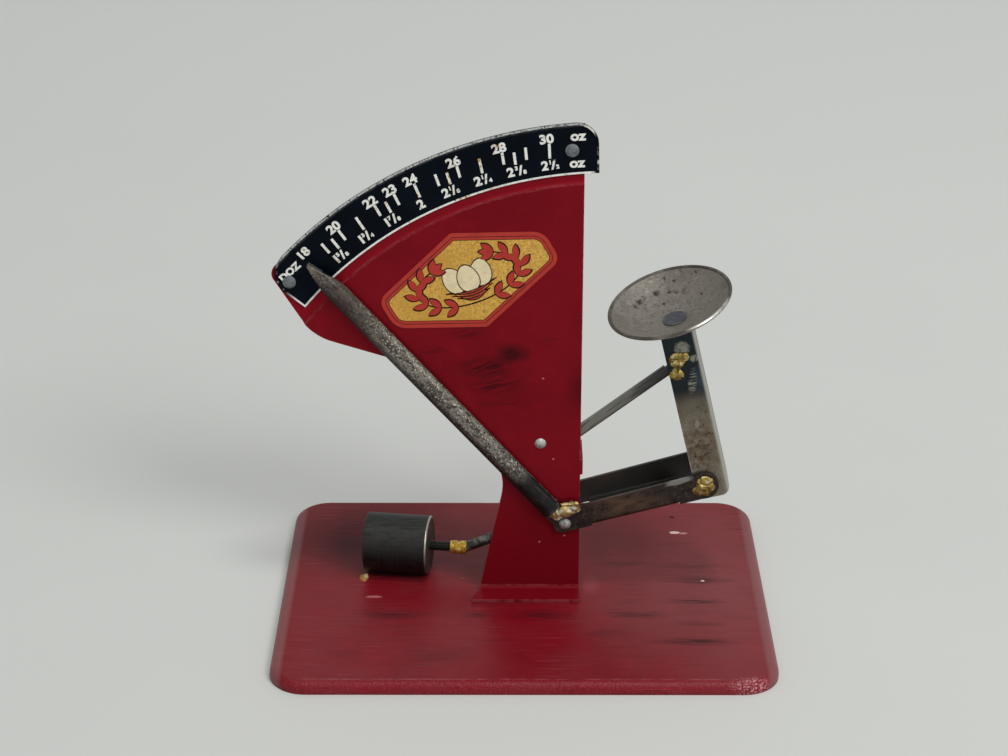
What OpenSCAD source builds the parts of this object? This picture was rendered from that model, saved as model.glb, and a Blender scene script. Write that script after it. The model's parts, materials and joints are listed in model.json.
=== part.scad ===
// Farmhouse egg scale: a pressed base carries an upright fan-shaped panel with an arc dial.
// A U-shaped arm turns on a pin through the panel. It carries the pointer, the weight bar
// and, at its far end, the post with the egg dish. A stay keeps the post steady.
// X runs to the right, Y runs back from the viewer, Z runs up from the table.
// The origin is the middle of the base where it meets the table.

/* [Base tray] */
// Width of the base
base_w = 190; // [170:1:220]
// Depth of the base
base_d = 140; // [110:1:170]
// Height of the flat top above the table
base_h = 4.6; // [4:0.1:7]
// Corner radius seen from above
base_corner_r = 14; // [8:1:25]
// Radius of the rolled edge
base_edge_r = 3; // [2:0.1:3.6]
// Thickness of the base sheet
base_t = 1; // [0.7:0.1:1.4]

/* [Upright panel] */
// Thickness of the panel sheet
panel_t = 1.2; // [0.8:0.1:1.5]
// Distance of the panel's front face ahead of the base's middle
panel_front = 3; // [0:0.5:12]
// Distance of the panel's right edge from the base's middle
panel_right = 21.6; // [20.6:0.1:23]
// Width of the stem at its waist
waist_w = 29.8; // [27:0.2:34]
// Height of the waist above the base
waist_h = 46.9; // [42:0.5:52]
// Radius of the hollow side of the stem
waist_r = 24; // [16:1:32]
// Lean of the stem's left edge below the waist, in degrees
stem_flare = 11.5; // [6:0.5:16]
// Length of the foot flange on the base
foot_len = 9.5; // [7:0.5:14]
// How far the foot flange's front edge runs out to the left
foot_splay = 3.6; // [0:0.2:6]
// Radius inside the foot's bend
foot_bend_r = 1.2; // [0.6:0.1:2]
// Height of the side tab's lower edge above the base
tab_h = 51.4; // [48:0.2:53]
// Height of the side tab itself
tab_len = 6.4; // [4:0.2:7]
// How far the side tab stands proud of the panel's edge
tab_proud = 1; // [0.4:0.1:1.6]
// Depth of the step that sets the dial band back
joggle = 1.2; // [0.6:0.1:1.6]
// Distance from the dial's inner edge to the middle of that step
joggle_gap = 3.4; // [2:0.2:5]

/* [Left lobe of the fan] */
// Angle from the dial's left end to the start of the lobe, in degrees
lobe_turn = 2.6; // [2:0.1:3.4]
// How far the lobe's tip lies left of the arc's end
lobe_tip_out = 3.6; // [2:0.1:5]
// How far the lobe's tip lies below the arc's end
lobe_tip_drop = 3.8; // [3:0.1:6]
// Radius of the lobe's tip
lobe_tip_r = 4; // [2:0.5:5]
// How far the lobe's lower corner lies right of the arc's end
lobe_low_in = 11.6; // [8:0.2:15]
// How far the lobe's lower corner lies below the arc's end
lobe_low_drop = 28.8; // [25:0.2:32]
// Radius of the lobe's lower corner
lobe_low_r = 21; // [12:0.5:24]
// How far the end of the fan's lower edge lies right of the arc's end
fan_end_in = 40.8; // [37:0.2:44]
// How far the end of the fan's lower edge lies below the arc's end
fan_end_drop = 38.1; // [36:0.2:41]

/* [Dial] */
// Distance of the dial's arc centre from the base's middle
dial_x = 30.7; // [29.5:0.1:32]
// Height of the dial's arc centre above the base
dial_h = 29.9; // [28:0.1:32]
// Outer radius of the dial plate
dial_r = 164; // [162:0.2:166]
// Width of the dial band
dial_w = 19.3; // [17:0.1:21]
// Direction of the dial's right end, in degrees
dial_a0 = 91.5; // [90.5:0.1:92.5]
// Direction of the dial's left end, in degrees
dial_a1 = 140.7; // [139:0.1:142]
// Thickness of the dial plate
dial_t = 0.7; // [0.5:0.05:1]
// Height of the raised rim and marks
mark_h = 0.25; // [0.15:0.05:0.4]
// Width of the raised rim
rim_w = 0.7; // [0.4:0.1:1.2]
// Width of a scale mark
mark_w = 1; // [0.6:0.1:1.3]
// Length of a short scale mark
mark_len = 4.6; // [3:0.2:5.4]
// How much further in a long mark reaches
mark_extra = 1; // [0.4:0.1:1.6]
// Distance of the marks' middle from the dial's inner edge
mark_in = 10.3; // [9:0.1:11.5]
// Lowest weight on the dial, in ounces for a dozen eggs
dozen_min = 18; // [16:1:20]
// Highest weight on the dial, in ounces for a dozen eggs
dozen_max = 30; // [28:1:30]
// Swing of the pointer for one ounce a dozen, in degrees
ounce_step = 3.2; // [3:0.05:3.25]
// Radius of the dial's right end corner
dial_right_r = 8; // [5:0.5:9]
// Radius of the dial's left end corner
dial_left_r = 10; // [7:0.5:10]
// Distance of the dial's right rivet from the outer edge
rivet_in = 10.2; // [9:0.2:12]
// How much nearer to the outer edge the left rivet lies
rivet_rise = 1.7; // [0:0.1:2.4]
// Angle from the dial's right end to its rivet, in degrees
rivet_turn_right = 3.6; // [3:0.1:5]
// Angle from the dial's left end to its rivet, in degrees
rivet_turn_left = 1.6; // [1.5:0.1:3]
// Radius of the rivets
rivet_r = 1.6; // [1.2:0.1:1.8]
// Radius of the dial rivets' heads
rivet_head_r = 2.5; // [2.2:0.1:2.8]
// Height of the dial rivets' flattened heads
rivet_head_h = 0.6; // [0.4:0.1:1]

/* [Badge] */
// Distance of the badge's middle left of the base's middle
badge_left = 20.5; // [17:0.5:24]
// Height of the badge's middle above the base
badge_h = 132.6; // [128:0.5:134]
// Thickness of the badge
badge_t = 0.3; // [0.2:0.05:0.5]
// Side corner of the badge, as distances across and up from its middle
badge_side = [33.7, 8.2]; // [5:0.1:36]
// Outer corner of the badge, as distances across and up from its middle
badge_outer = [27.4, 19.4]; // [15:0.1:30]
// Peak of the badge, as distances across and up from its middle
badge_peak = [6.7, 18.7]; // [5:0.1:20]

/* [Arm and its pivot] */
// Distance of the main pivot right of the base's middle
pivot_x = 16; // [15:0.1:16.4]
// Height of the main pivot above the base
pivot_h = 30.9; // [30.4:0.1:34]
// Length of the arm between its pivots
arm_len = 55.9; // [52:0.1:58]
// Rise of the arm at rest, in degrees
arm_rise = 17.3; // [16.5:0.1:20]
// Height of the arm's flanges
arm_h = 10.6; // [9:0.1:11]
// Sheet thickness of the arm
arm_t = 1.2; // [0.8:0.1:1.4]
// Clearance between the arm's flanges and what they straddle
arm_gap = 0.7; // [0.6:0.05:1]
// Reach of the arm's flanges behind the main pivot
arm_heel = 4.4; // [4:0.1:5]
// Distance from the main pivot to the start of the arm's web
web_start = 10; // [9:0.5:14]
// Distance from the end pin to the end of the arm's web
web_short = 11; // [10:0.5:14]
// Radius outside the arm's bends
arm_bend_r = 2; // [1.6:0.1:2.6]
// Radius of the pin at the arm's end
arm_pin_r = 1.8; // [1.4:0.1:2]
// Radius of the main pivot pin
pivot_r = 1.8; // [1.4:0.1:2]
// Radial clearance of a pin in a running hole
run_fit = 0.08; // [0.04:0.01:0.1]
// Radial clearance of a rivet or pin in a fixed hole
set_fit = 0.03; // [0.02:0.01:0.05]

/* [Pointer] */
// Length from the main pivot to the pointer's tip
pointer_len = 145; // [140:0.5:148]
// Direction of the pointer at rest, in degrees
pointer_angle = 131.1; // [130:0.1:132]
// Width of the pointer
pointer_w = 8.2; // [7:0.1:9]
// Height of the pointer's rounded back
pointer_rise = 2.7; // [2:0.1:3.4]
// Sheet thickness of the pointer
pointer_t = 0.9; // [0.6:0.1:1.1]
// Length of the tapered tip
tip_len = 14; // [8:0.5:20]
// Distance from the main pivot to the pointer's foot
foot_gap = 7.5; // [6.5:0.25:9]
// Length of the arm's ear under the pointer's foot
ear_lap = 5; // [3:0.5:8]

/* [Post and dish] */
// Length of the post between its two pins
post_len = 51.2; // [48:0.1:54]
// Lean of the post to the left at rest, in degrees
post_lean = 13.4; // [12:0.1:15]
// Depth of the post's flanges
post_d = 13; // [11:0.2:15]
// Distance from the post's open edge to its pins
post_edge = 3.7; // [3.5:0.1:4.4]
// Sheet thickness of the post
post_t = 1.2; // [0.8:0.1:1.4]
// Radius outside the post's bends
post_bend_r = 2.2; // [1.8:0.1:3]
// Clearance between the post and the arm's flanges
post_gap = 0.5; // [0.4:0.05:0.9]
// Length of the post below its lower pin
post_tail = 6.4; // [5:0.1:6.6]
// Distance from the upper pin to the dish seat
seat_up = 14.8; // [13:0.1:20]
// Radius of the dish's opening
dish_r = 24; // [21:0.2:27]
// Depth of the dish
dish_depth = 9; // [7:0.1:10]
// Thickness of the dish
dish_t = 0.9; // [0.7:0.05:1.2]
// Radius of the flat in the middle of the dish
dish_flat_r = 5; // [4.9:0.1:5.6]
// Tilt of the dish towards the panel, in degrees
dish_left = 17; // [12:0.5:20]
// Tilt of the dish towards the viewer, in degrees
dish_front = 7.4; // [0:0.2:9]

/* [Stay] */
// Distance of the stay's fixed pin right of the base's middle
anchor_x = 14; // [13.4:0.1:14.6]
// Height of the stay's fixed pin above the base
anchor_h = 63; // [62.4:0.1:64]
// Height of the stay's channel
stay_h = 4; // [2.8:0.1:4.4]
// Depth of the stay's channel
stay_d = 2.6; // [1.8:0.1:3.2]
// Sheet thickness of the stay
stay_t = 0.8; // [0.6:0.05:0.9]
// Radius outside the stay's bends
stay_bend_r = 1.2; // [1:0.1:1.5]
// Gap between the panel and the stay
stay_gap = 0.5; // [0.3:0.05:0.7]
// Radius of the stay's pins
link_pin_r = 1.3; // [1:0.1:1.5]
// Radial play of the stay's outer eye round its pin
link_slack = 0.85; // [0.75:0.05:1]

/* [Rear bracket] */
// Clear space between the panel and the bracket
bracket_space = 14.8; // [14:0.1:17]
// Sheet thickness of the bracket
bracket_t = 1.2; // [0.8:0.1:1.5]
// Width of the bracket
bracket_w = 25; // [22:0.5:26]
// Metal of the bracket above its upper hole
bracket_over = 7.1; // [5:0.1:10]
// Narrowing of the bracket's upper part
bracket_step = 6; // [3:0.5:7]
// Height above the base at which the bracket starts to narrow
bracket_step_h = 24.4; // [18:0.2:30]
// Distance of the tie rivet right of the base's middle
tie_x = 6.3; // [5.6:0.1:6.8]
// Height of the tie rivet above the base
tie_h = 64.9; // [63.5:0.1:66]
// Height of the tie rivet's domed head
tie_head_h = 1; // [0.6:0.1:1.4]

/* [Weight] */
// Radius of the counterweight
weight_r = 11.7; // [10:0.1:12.5]
// Length of the counterweight
weight_len = 25.6; // [22:0.2:30]
// Turn of the weight's screw away from the panel, in degrees
weight_yaw = 7.5; // [5:0.5:10]
// Gap between the weight and the base at rest
weight_gap = 0.1; // [0.05:0.05:0.4]
// Distance of the weight's inner end from the main pivot
weight_reach = 53; // [50:0.5:56]
// Radius of the weight's screw
screw_r = 2; // [1.6:0.1:2.2]
// Bare length of screw between the weight and its joint
screw_bare = 8; // [6:0.5:10]
// Length of the brazed joint on the screw
joint_len = 5.6; // [4:0.2:7]
// Wall of the brazed joint
joint_wall = 0.6; // [0.4:0.1:1]
// How far the bar's knee lies right of the brazed joint
knee_out = 10.4; // [8:0.2:13]
// How far the bar's knee lies above the weight's axis
knee_up = 4.3; // [2:0.1:6]
// Radius of the weight bar
bar_r = 2; // [1.6:0.1:2.2]
// Distance of the weight bar behind the panel's front face
bar_back = 12.8; // [12:0.1:13.2]

/* [Hidden] */
$fn = 64;
eps = 0.01;
// How far a cut runs past the faces that it goes through
over = 1;

red = "#8e1220";
black = "#15161a";
steel = "#8c877f";
dark_steel = "#4a4541";
brass = "#c9a53c";
silver = "#c4c6c8";
gold = "#d9a437";

// Faces of the layers, from the front to the back
panel_y0 = -panel_front;
panel_y1 = panel_y0 + panel_t;
band_y0 = panel_y0 + joggle;
band_y1 = band_y0 + panel_t;
dial_y0 = band_y0 - dial_t;
arm_y1 = panel_y0 - arm_gap;
arm_y0 = arm_y1 - arm_t;
bracket_y0 = panel_y1 + bracket_space;
bracket_y1 = bracket_y0 + bracket_t;
rear_y0 = bracket_y1 + arm_gap;
rear_y1 = rear_y0 + arm_t;
post_y0 = arm_y1 + post_gap;
post_y1 = rear_y0 - post_gap;
stay_y0 = panel_y1 + stay_gap;
bar_y = panel_y0 + bar_back;

// Pivots in the upright plane, as [x, z]
main_pivot = [pivot_x, base_h + pivot_h];
arm_end = main_pivot + arm_len * [cos(arm_rise), sin(arm_rise)];
post_top = arm_end + post_len * [-sin(post_lean), cos(post_lean)];
anchor = [anchor_x, base_h + anchor_h];
tie = [tie_x, base_h + tie_h];
dial_centre = [dial_x, base_h + dial_h];
stay_len = norm(post_top - anchor);
stay_rise = atan2(post_top[1] - anchor[1], post_top[0] - anchor[0]);

// The dial's bands
dial_ri = dial_r - dial_w;
joggle_r = dial_ri - joggle_gap;
joggle_half = joggle * 0.75;
panel_inset = 0.8;
mark_r = dial_ri + mark_in;
long_step = 3;
// The dial's rivets, as [direction, radius] seen from the dial's centre
rivet_spots = [[dial_a0 + rivet_turn_right, dial_r - rivet_in],
    [dial_a1 - rivet_turn_left, dial_r - rivet_in + rivet_rise]];
tail_r = rivet_head_r - 0.3;
tail_h = 0.7;

// The arm in its own frame: along the arm from the main pivot, then square to it
arm_low0 = -3.4;
arm_high0 = 5.9;
arm_high_run = 8;
arm_low1 = -arm_h / 2;
arm_high1 = arm_h / 2;
arm_end_r = arm_h / 2 + 0.2;
heel_r = 3;
web_end = arm_len - web_short;
web_slope = atan2(arm_low1 - arm_low0, arm_len + arm_heel);
web_lap = 0.5;
ear_w = pointer_w - 1;
ear_r = 2;
head_r = pivot_r + 0.5;
head_h = 1.5;
pin_lip = 0.9;
washer_w = 2;
washer_play = 0.05;
tube_wall = 1.2;
tip_r = 6;
tip_half = 0.5;
tip_solid = 5.6;

// The weight's line
weight_z = base_h + weight_gap + weight_r;
bend_run = screw_bare + joint_len;
weight_face = main_pivot[0] - weight_reach;
bend_x = weight_face + bend_run * cos(weight_yaw);
bar_knee = [bend_x + knee_out, weight_z + knee_up];
joint_lap = 1.2;
hub_r = 4;
hub_play = 0.4;
screw_grip = weight_len - 4;
weight_edge = 0.8;

// The dish seat
seat = post_top + seat_up * [-sin(post_lean), cos(post_lean)]
    + (post_d / 2 - post_edge) * [cos(post_lean), sin(post_lean)];
seat_y = (post_y0 + post_y1) / 2;
dish_ball = (dish_r * dish_r + dish_depth * dish_depth) / (2 * dish_depth);
dish_rivet_head = 0.35;
dish_rivet_lip = 1;
dish_rivet_tail = 0.8;
post_low_r = [2, 3.4];
post_spare = 12;

// The stay's eyes
stay_hub_r = link_pin_r + 1.9;
stay_eye_r = link_pin_r + link_slack + 1.5;
stay_play = 0.3;
eye_gap = 1;

function unit(v) = v / norm(v);
function circle_pts(c, r, a0, a1, n) =
    [for (i = [0:n]) c + r * [cos(a0 + (a1 - a0) * i / n), sin(a0 + (a1 - a0) * i / n)]];
function turn(a) = (a + 540) % 360 - 180;
// One corner of an outline, rounded to radius r
function corner(p0, p1, p2, r, n) = r == 0 ? [p1] :
    let (u = unit(p0 - p1), v = unit(p2 - p1), half = acos(u * v) / 2,
        c = p1 + unit(u + v) * r / sin(half),
        q0 = p1 + u * r / tan(half) - c, q1 = p1 + v * r / tan(half) - c,
        a0 = atan2(q0[1], q0[0]), sweep = turn(atan2(q1[1], q1[0]) - a0))
    circle_pts(c, r, a0, a0 + sweep, n);
// A closed outline from [x, z, corner radius] points
function rounded(pts, n = 8) = let (m = len(pts), p = [for (q = pts) [q[0], q[1]]])
    [for (i = [0:m - 1]) each corner(p[(i + m - 1) % m], p[i], p[(i + 1) % m], pts[i][2], n)];

function dial_point(s) = dial_centre + s[1] * [cos(s[0]), sin(s[0])];
// Direction from a circle's centre to the point where a line from p touches it
function touch_angle(p, c, r) = atan2(p[1] - c[1], p[0] - c[0]) - acos(r / norm(p - c));

// A flat sheet from y0 back to y1, cut to an outline given in x and z
module sheet(y0, y1) {
    translate([0, y1, 0]) rotate([90, 0, 0]) linear_extrude(y1 - y0) children();
}

// A round pin along Y at the point p
module pin(p, y0, y1, r) {
    translate([p[0], y0, p[1]]) rotate([-90, 0, 0]) cylinder(r = r, h = y1 - y0);
}

// The outer form of a channel in section: w wide, d high, with its two lower corners round
module bent_block(w, d, r) {
    translate([0, r]) square([w, d - r]);
    translate([r, 0]) square([w - 2 * r, d]);
    for (x = [r, w - r]) translate([x, r]) circle(r = r);
}

// The section of a U-shaped channel with its back on y = 0
module channel(w, d, t, r) difference() {
    bent_block(w, d, r);
    translate([t, t]) bent_block(w - 2 * t, d, r - t);
}

// A low domed head that sits on the plane y and bulges to the front, or to the back
module dome(p, y, r, h, to_front = true) {
    ball = (r * r + h * h) / (2 * h);
    side = to_front ? -1 : 1;
    translate([p[0], y, p[1]]) rotate([-90 * side, 0, 0]) intersection() {
        translate([0, 0, h - ball]) sphere(r = ball);
        cylinder(r = r + over, h = h + over);
    }
}

// A tube along Y
module tube(p, y0, y1, r_out, r_in) {
    difference() {
        pin(p, y0, y1, r_out);
        pin(p, y0 - over, y1 + over, r_in);
    }
}

// Puts x and z along and across a line that leaves p at an angle
module along(p, angle) {
    translate([p[0], 0, p[1]]) rotate([0, -angle, 0]) children();
}

// A rectangle in plan with round corners and a rolled upper edge
module rolled_block(w, d, h, corner_r, edge_r) {
    module side_profile(span) {
        translate([-span / 2, 0]) square([span, h - edge_r]);
        translate([-span / 2 + edge_r, 0]) square([span - 2 * edge_r, h]);
        intersection() {
            for (s = [-1, 1]) translate([s * (span / 2 - edge_r), h - edge_r]) circle(r = edge_r);
            translate([-span / 2, 0]) square([span, h]);
        }
    }
    translate([-(w / 2 - corner_r), 0, 0]) rotate([90, 0, 90])
        linear_extrude(w - 2 * corner_r) side_profile(d);
    translate([0, d / 2 - corner_r, 0]) rotate([90, 0, 0])
        linear_extrude(d - 2 * corner_r) side_profile(w);
    for (sx = [-1, 1], sy = [-1, 1])
        translate([sx * (w / 2 - corner_r), sy * (d / 2 - corner_r), 0]) rotate_extrude()
            intersection() {
                side_profile(2 * corner_r);
                square([corner_r + over, h + over]);
            }
}

module base_tray() color(red) difference() {
    rolled_block(base_w, base_d, base_h, base_corner_r, base_edge_r);
    translate([0, 0, -eps]) rolled_block(base_w - 2 * base_t, base_d - 2 * base_t,
        base_h - base_t + eps, base_corner_r - base_t, base_edge_r - base_t);
}

// The panel's outline above its foot bend, in x and z
function panel_outline() = let (
        ro = dial_r - panel_inset, c = dial_centre,
        a_right = acos((panel_right - c[0]) / ro), a_left = dial_a1 - lobe_turn,
        arc_end = c + ro * [cos(a_left), sin(a_left)],
        tip = arc_end - [lobe_tip_out, lobe_tip_drop],
        lobe_low = arc_end + [lobe_low_in, -lobe_low_drop],
        fan_end = arc_end + [fan_end_in, -fan_end_drop],
        waist_c = [panel_right - waist_w - waist_r, base_h + waist_h],
        hollow = circle_pts(waist_c, waist_r, touch_angle(fan_end, waist_c, waist_r), -stem_flare, 12),
        last = hollow[len(hollow) - 1],
        low = base_h + panel_t + foot_bend_r)
    concat([[panel_right, low]], circle_pts(c, ro, a_right, a_left, 40),
        corner(arc_end, tip, lobe_low, lobe_tip_r, 6), corner(tip, lobe_low, fan_end, lobe_low_r, 10),
        [fan_end], hollow, [[last[0] - (last[1] - low) * tan(stem_flare), low]]);

module panel_foot() {
    low = base_h;
    y_front = panel_y0 - foot_len;
    bend = foot_bend_r + panel_t;
    outline = panel_outline();
    flange_left = outline[len(outline) - 1][0];
    profile = rounded([[panel_y1, low, bend], [panel_y1, low + bend, 0], [panel_y0, low + bend, 0],
        [panel_y0, low + panel_t, foot_bend_r], [y_front, low + panel_t, 0], [y_front, low, 0]]);
    intersection() {
        translate([-base_w / 2, 0, 0]) rotate([90, 0, 90]) linear_extrude(base_w) polygon(profile);
        linear_extrude(low + bend + over) polygon([[flange_left, panel_y1 + over],
            [flange_left, panel_y0], [flange_left - foot_splay, y_front], [panel_right, y_front],
            [panel_right, panel_y1 + over]]);
    }
}

// A tab bent back from the panel's right edge to lie along the bracket
module panel_tab() {
    x1 = panel_right + tab_proud;
    x0 = x1 - panel_t;
    root = x0 - 2 * panel_t;
    translate([0, 0, base_h + tab_h]) linear_extrude(tab_len)
        polygon(rounded([[root, panel_y0, 0], [x1, panel_y0, panel_t], [x1, bracket_y1, 0],
            [x0, bracket_y1, 0], [x0, panel_y1, 0], [root, panel_y1, 0]]));
}

module front_panel() color(red) difference() {
    union() {
        intersection() {
            sheet(panel_y0 - over, band_y1 + over) polygon(panel_outline());
            translate([dial_centre[0], 0, dial_centre[1]]) rotate([-90, 0, 0]) rotate_extrude($fn = 128)
                polygon([[0, panel_y0], [joggle_r - joggle_half, panel_y0],
                    [joggle_r + joggle_half, band_y0], [dial_r, band_y0], [dial_r, band_y1],
                    [joggle_r + joggle_half, band_y1], [joggle_r - joggle_half, panel_y1],
                    [0, panel_y1]]);
        }
        panel_foot();
        panel_tab();
    }
    pin(main_pivot, panel_y0 - over, panel_y1 + over, pivot_r + run_fit);
    pin(tie, panel_y0 - over, panel_y1 + over, rivet_r + set_fit);
    for (s = rivet_spots) pin(dial_point(s), band_y0 - over, band_y1 + over, rivet_r + set_fit);
}

// The dial plate's outline, drawn in by an inset
function dial_outline(inset) = let (
        ro = dial_r - inset, ri = dial_ri + inset, c = dial_centre,
        slip = asin(inset / (dial_r - dial_w / 2)),
        a0 = dial_a0 + slip, a1 = dial_a1 - slip,
        r0 = dial_right_r - inset, r1 = dial_left_r - inset,
        b0 = asin(r0 / (ro - r0)), b1 = asin(r1 / (ro - r1)),
        c0 = c + (ro - r0) * [cos(a0 + b0), sin(a0 + b0)],
        c1 = c + (ro - r1) * [cos(a1 - b1), sin(a1 - b1)])
    concat(circle_pts(c, ri, a1, a0, 36), circle_pts(c0, r0, a0 - 90, a0 + b0, 8),
        circle_pts(c, ro, a0 + b0, a1 - b1, 36), circle_pts(c1, r1, a1 - b1, a1 + 90, 8));

// Direction of a weight's mark, seen from the main pivot
function mark_angle(ounces) = pointer_angle - (ounces - dozen_min) * ounce_step;
// Distance from the main pivot to a circle about the dial's centre, along a direction
function reach(r, a) = let (d = main_pivot - dial_centre, u = [cos(a), sin(a)], b = d * u)
    -b + sqrt(b * b + r * r - d * d);

// A raised mark, rooted in the plate
module scale_mark(ounces, r0, r1) {
    a = mark_angle(ounces);
    s0 = reach(r0, a);
    along(main_pivot, a) translate([s0, dial_y0 - mark_h, -mark_w / 2])
        cube([reach(r1, a) - s0, mark_h + dial_t / 2, mark_w]);
}

module dial_plate() color(black) difference() {
    r0 = mark_r - mark_len / 2;
    r1 = mark_r + mark_len / 2;
    union() {
        sheet(dial_y0, band_y0) polygon(dial_outline(0));
        sheet(dial_y0 - mark_h, dial_y0) difference() {
            polygon(dial_outline(0));
            polygon(dial_outline(rim_w));
        }
        for (ounces = [dozen_min + 1:1:dozen_max])
            scale_mark(ounces, ounces % long_step == 0 ? r0 - mark_extra : r0, r1);
        for (ounces = [dozen_min + long_step / 2:long_step:dozen_max])
            scale_mark(ounces, r0 - mark_extra, r1 - mark_extra);
    }
    for (s = rivet_spots) pin(dial_point(s), dial_y0 - over, band_y0 + over, rivet_r + set_fit);
}

module dial_rivets() color(silver) for (s = rivet_spots) {
    p = dial_point(s);
    head_y = dial_y0 - mark_h;
    pin(p, head_y, band_y1, rivet_r);
    pin(p, head_y - eps, dial_y0, rivet_head_r);
    dome(p, head_y, rivet_head_r, rivet_head_h);
    dome(p, band_y1, tail_r, tail_h, false);
}

module badge_plate() color(gold) {
    half = [[-badge_side[0], -badge_side[1], 5], [-badge_outer[0], -badge_outer[1], 7],
        [badge_peak[0], -badge_peak[1], 1.5]];
    sheet(panel_y0 - badge_t, panel_y0) translate([-badge_left, base_h + badge_h])
        polygon(rounded(concat(half, [for (p = half) [-p[0], -p[1], p[2]]])));
}

module rear_bracket() color(red) difference() {
    x1 = panel_right + tab_proud - panel_t;
    x0 = x1 - bracket_w;
    bend = foot_bend_r + bracket_t;
    low = base_h + bend;
    top = max(anchor[1], tie[1]) + bracket_over;
    step_z = base_h + bracket_step_h;
    y_rear = bracket_y1 + foot_len;
    union() {
        sheet(bracket_y0, bracket_y1) polygon(rounded([[x0, low, 0], [x1, low, 0], [x1, top, 5],
            [x0 + bracket_step, top, 5], [x0 + bracket_step, step_z + 2 * bracket_step, 8],
            [x0, step_z, 8]]));
        translate([x0, 0, 0]) rotate([90, 0, 90]) linear_extrude(bracket_w)
            polygon(rounded([[bracket_y0, base_h, bend], [bracket_y0, low, 0], [bracket_y1, low, 0],
                [bracket_y1, base_h + bracket_t, foot_bend_r], [y_rear, base_h + bracket_t, 0],
                [y_rear, base_h, 0]]));
    }
    pin(main_pivot, bracket_y0 - over, bracket_y1 + over, pivot_r + run_fit);
    pin(anchor, bracket_y0 - over, bracket_y1 + over, link_pin_r + set_fit);
    pin(tie, bracket_y0 - over, bracket_y1 + over, rivet_r + set_fit);
}

module tie_rivet() color(silver) {
    pin(tie, panel_y0, bracket_y1, rivet_r);
    dome(tie, panel_y0, tail_r, tie_head_h);
    dome(tie, bracket_y1, tail_r, tail_h, false);
}

module tie_spacer() color(steel)
    tube(tie, panel_y1, bracket_y0, rivet_r + tube_wall, rivet_r + set_fit);

// A stud from the bracket; it carries the stay and ends just short of the panel
module anchor_pin() color(steel) {
    pin(anchor, stay_y0 - stay_play, bracket_y1, link_pin_r);
    dome(anchor, bracket_y1, link_pin_r + pin_lip, tail_h, false);
}

module anchor_sleeve() color(steel)
    tube(anchor, stay_y0 + stay_t + stay_play, bracket_y0, link_pin_r + tube_wall, link_pin_r + set_fit);

// The side outline of the arm's flanges; the front one has the ear that carries the pointer
module flange_outline(with_ear) difference() {
    union() {
        polygon(rounded([[-arm_heel, arm_low0, heel_r], [arm_len, arm_low1, 0],
            [arm_len, arm_high1, 0], [arm_high_run, arm_high0, 0],
            [-arm_heel, arm_high0 - 1, heel_r]]));
        translate([arm_len, 0]) circle(r = arm_end_r);
        if (with_ear) rotate(pointer_angle - arm_rise) translate([-ear_r, -ear_w / 2])
            polygon(rounded([[0, 0, ear_r], [foot_gap + ear_lap + ear_r, 0, ear_r],
                [foot_gap + ear_lap + ear_r, ear_w, ear_r], [0, ear_w, ear_r]]));
    }
    circle(r = pivot_r + set_fit);
    translate([arm_len, 0]) circle(r = arm_pin_r + set_fit);
}

// Puts x along the arm's lower edge, measured from the main pivot, and z square to it
module web_frame() translate([-arm_heel, 0, arm_low0]) rotate([0, -web_slope, 0])
    translate([arm_heel, 0, 0]) children();

// A flat flange at each end, and a bent channel with the same sides between them
module beam_arm() color(dark_steel) along(main_pivot, arm_rise) {
    w = rear_y1 - arm_y0;
    run = web_end - web_start;
    difference() {
        union() {
            sheet(arm_y0, arm_y1) flange_outline(true);
            sheet(rear_y0, rear_y1) flange_outline(false);
        }
        web_frame() translate([web_start, arm_y0 - over, -arm_h]) cube([run, w + 2 * over, 3 * arm_h]);
    }
    intersection() {
        sheet(arm_y0 - over, rear_y1 + over) polygon([[0, -arm_h], [arm_len, -arm_h],
            [arm_len, arm_high1], [arm_high_run, arm_high0], [0, arm_high0]]);
        web_frame() translate([web_start - web_lap, arm_y0, 0]) rotate([90, 0, 90])
            linear_extrude(run + 2 * web_lap) channel(w, 2 * arm_h, arm_t, arm_bend_r);
    }
}

// The pointer's outer or inner round, as a bar from its foot to its tip
module pointer_bar(shrink) {
    ball = (pointer_w * pointer_w / 4 + pointer_rise * pointer_rise) / (2 * pointer_rise);
    translate([foot_gap, arm_y0 - pointer_rise + ball, 0]) rotate([0, 90, 0])
        cylinder(r = ball - shrink, h = pointer_len - foot_gap);
}

// The flat-backed outer form of the pointer, without its hollow
module pointer_shell() along(main_pivot, pointer_angle) intersection() {
    half = pointer_w / 2;
    shoulder = pointer_len - tip_len;
    pointer_bar(0);
    sheet(arm_y0 - pointer_rise - over, arm_y0) polygon(rounded([[foot_gap, -half, 0],
        [shoulder, -half, tip_r], [pointer_len, -tip_half, 0], [pointer_len, tip_half, 0],
        [shoulder, half, tip_r], [foot_gap, half, 0]]));
}

module pointer() color(dark_steel) difference() {
    pointer_shell();
    along(main_pivot, pointer_angle) intersection() {
        pointer_bar(pointer_t);
        sheet(arm_y0 - pointer_rise, arm_y0 + over) translate([foot_gap - over, -pointer_w])
            square([pointer_len - foot_gap - tip_solid + over, 2 * pointer_w]);
    }
}

// Braze over the pointer's foot, as domes flat on the arm's face
module beam_braze() color(brass) difference() {
    // Each lump's distance and direction from the main pivot, its radius and its height
    lumps = [[8.5, 129, 3.6, 1.6], [5.6, 118, 3.9, 1.5], [6.4, 92, 3.8, 1.6], [8.2, 66, 3.4, 1.5]];
    for (l = lumps) dome(main_pivot + l[0] * [cos(l[1]), sin(l[1])], arm_y0, l[2], l[3]);
    pointer_shell();
    pin(main_pivot, arm_y0 - pointer_rise, arm_y0 + over, head_r + set_fit);
}

module beam_pin() color(silver) {
    pin(main_pivot, arm_y0, rear_y1, pivot_r);
    dome(main_pivot, arm_y0, head_r, head_h);
    dome(main_pivot, rear_y1, head_r, tail_h, false);
}

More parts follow.
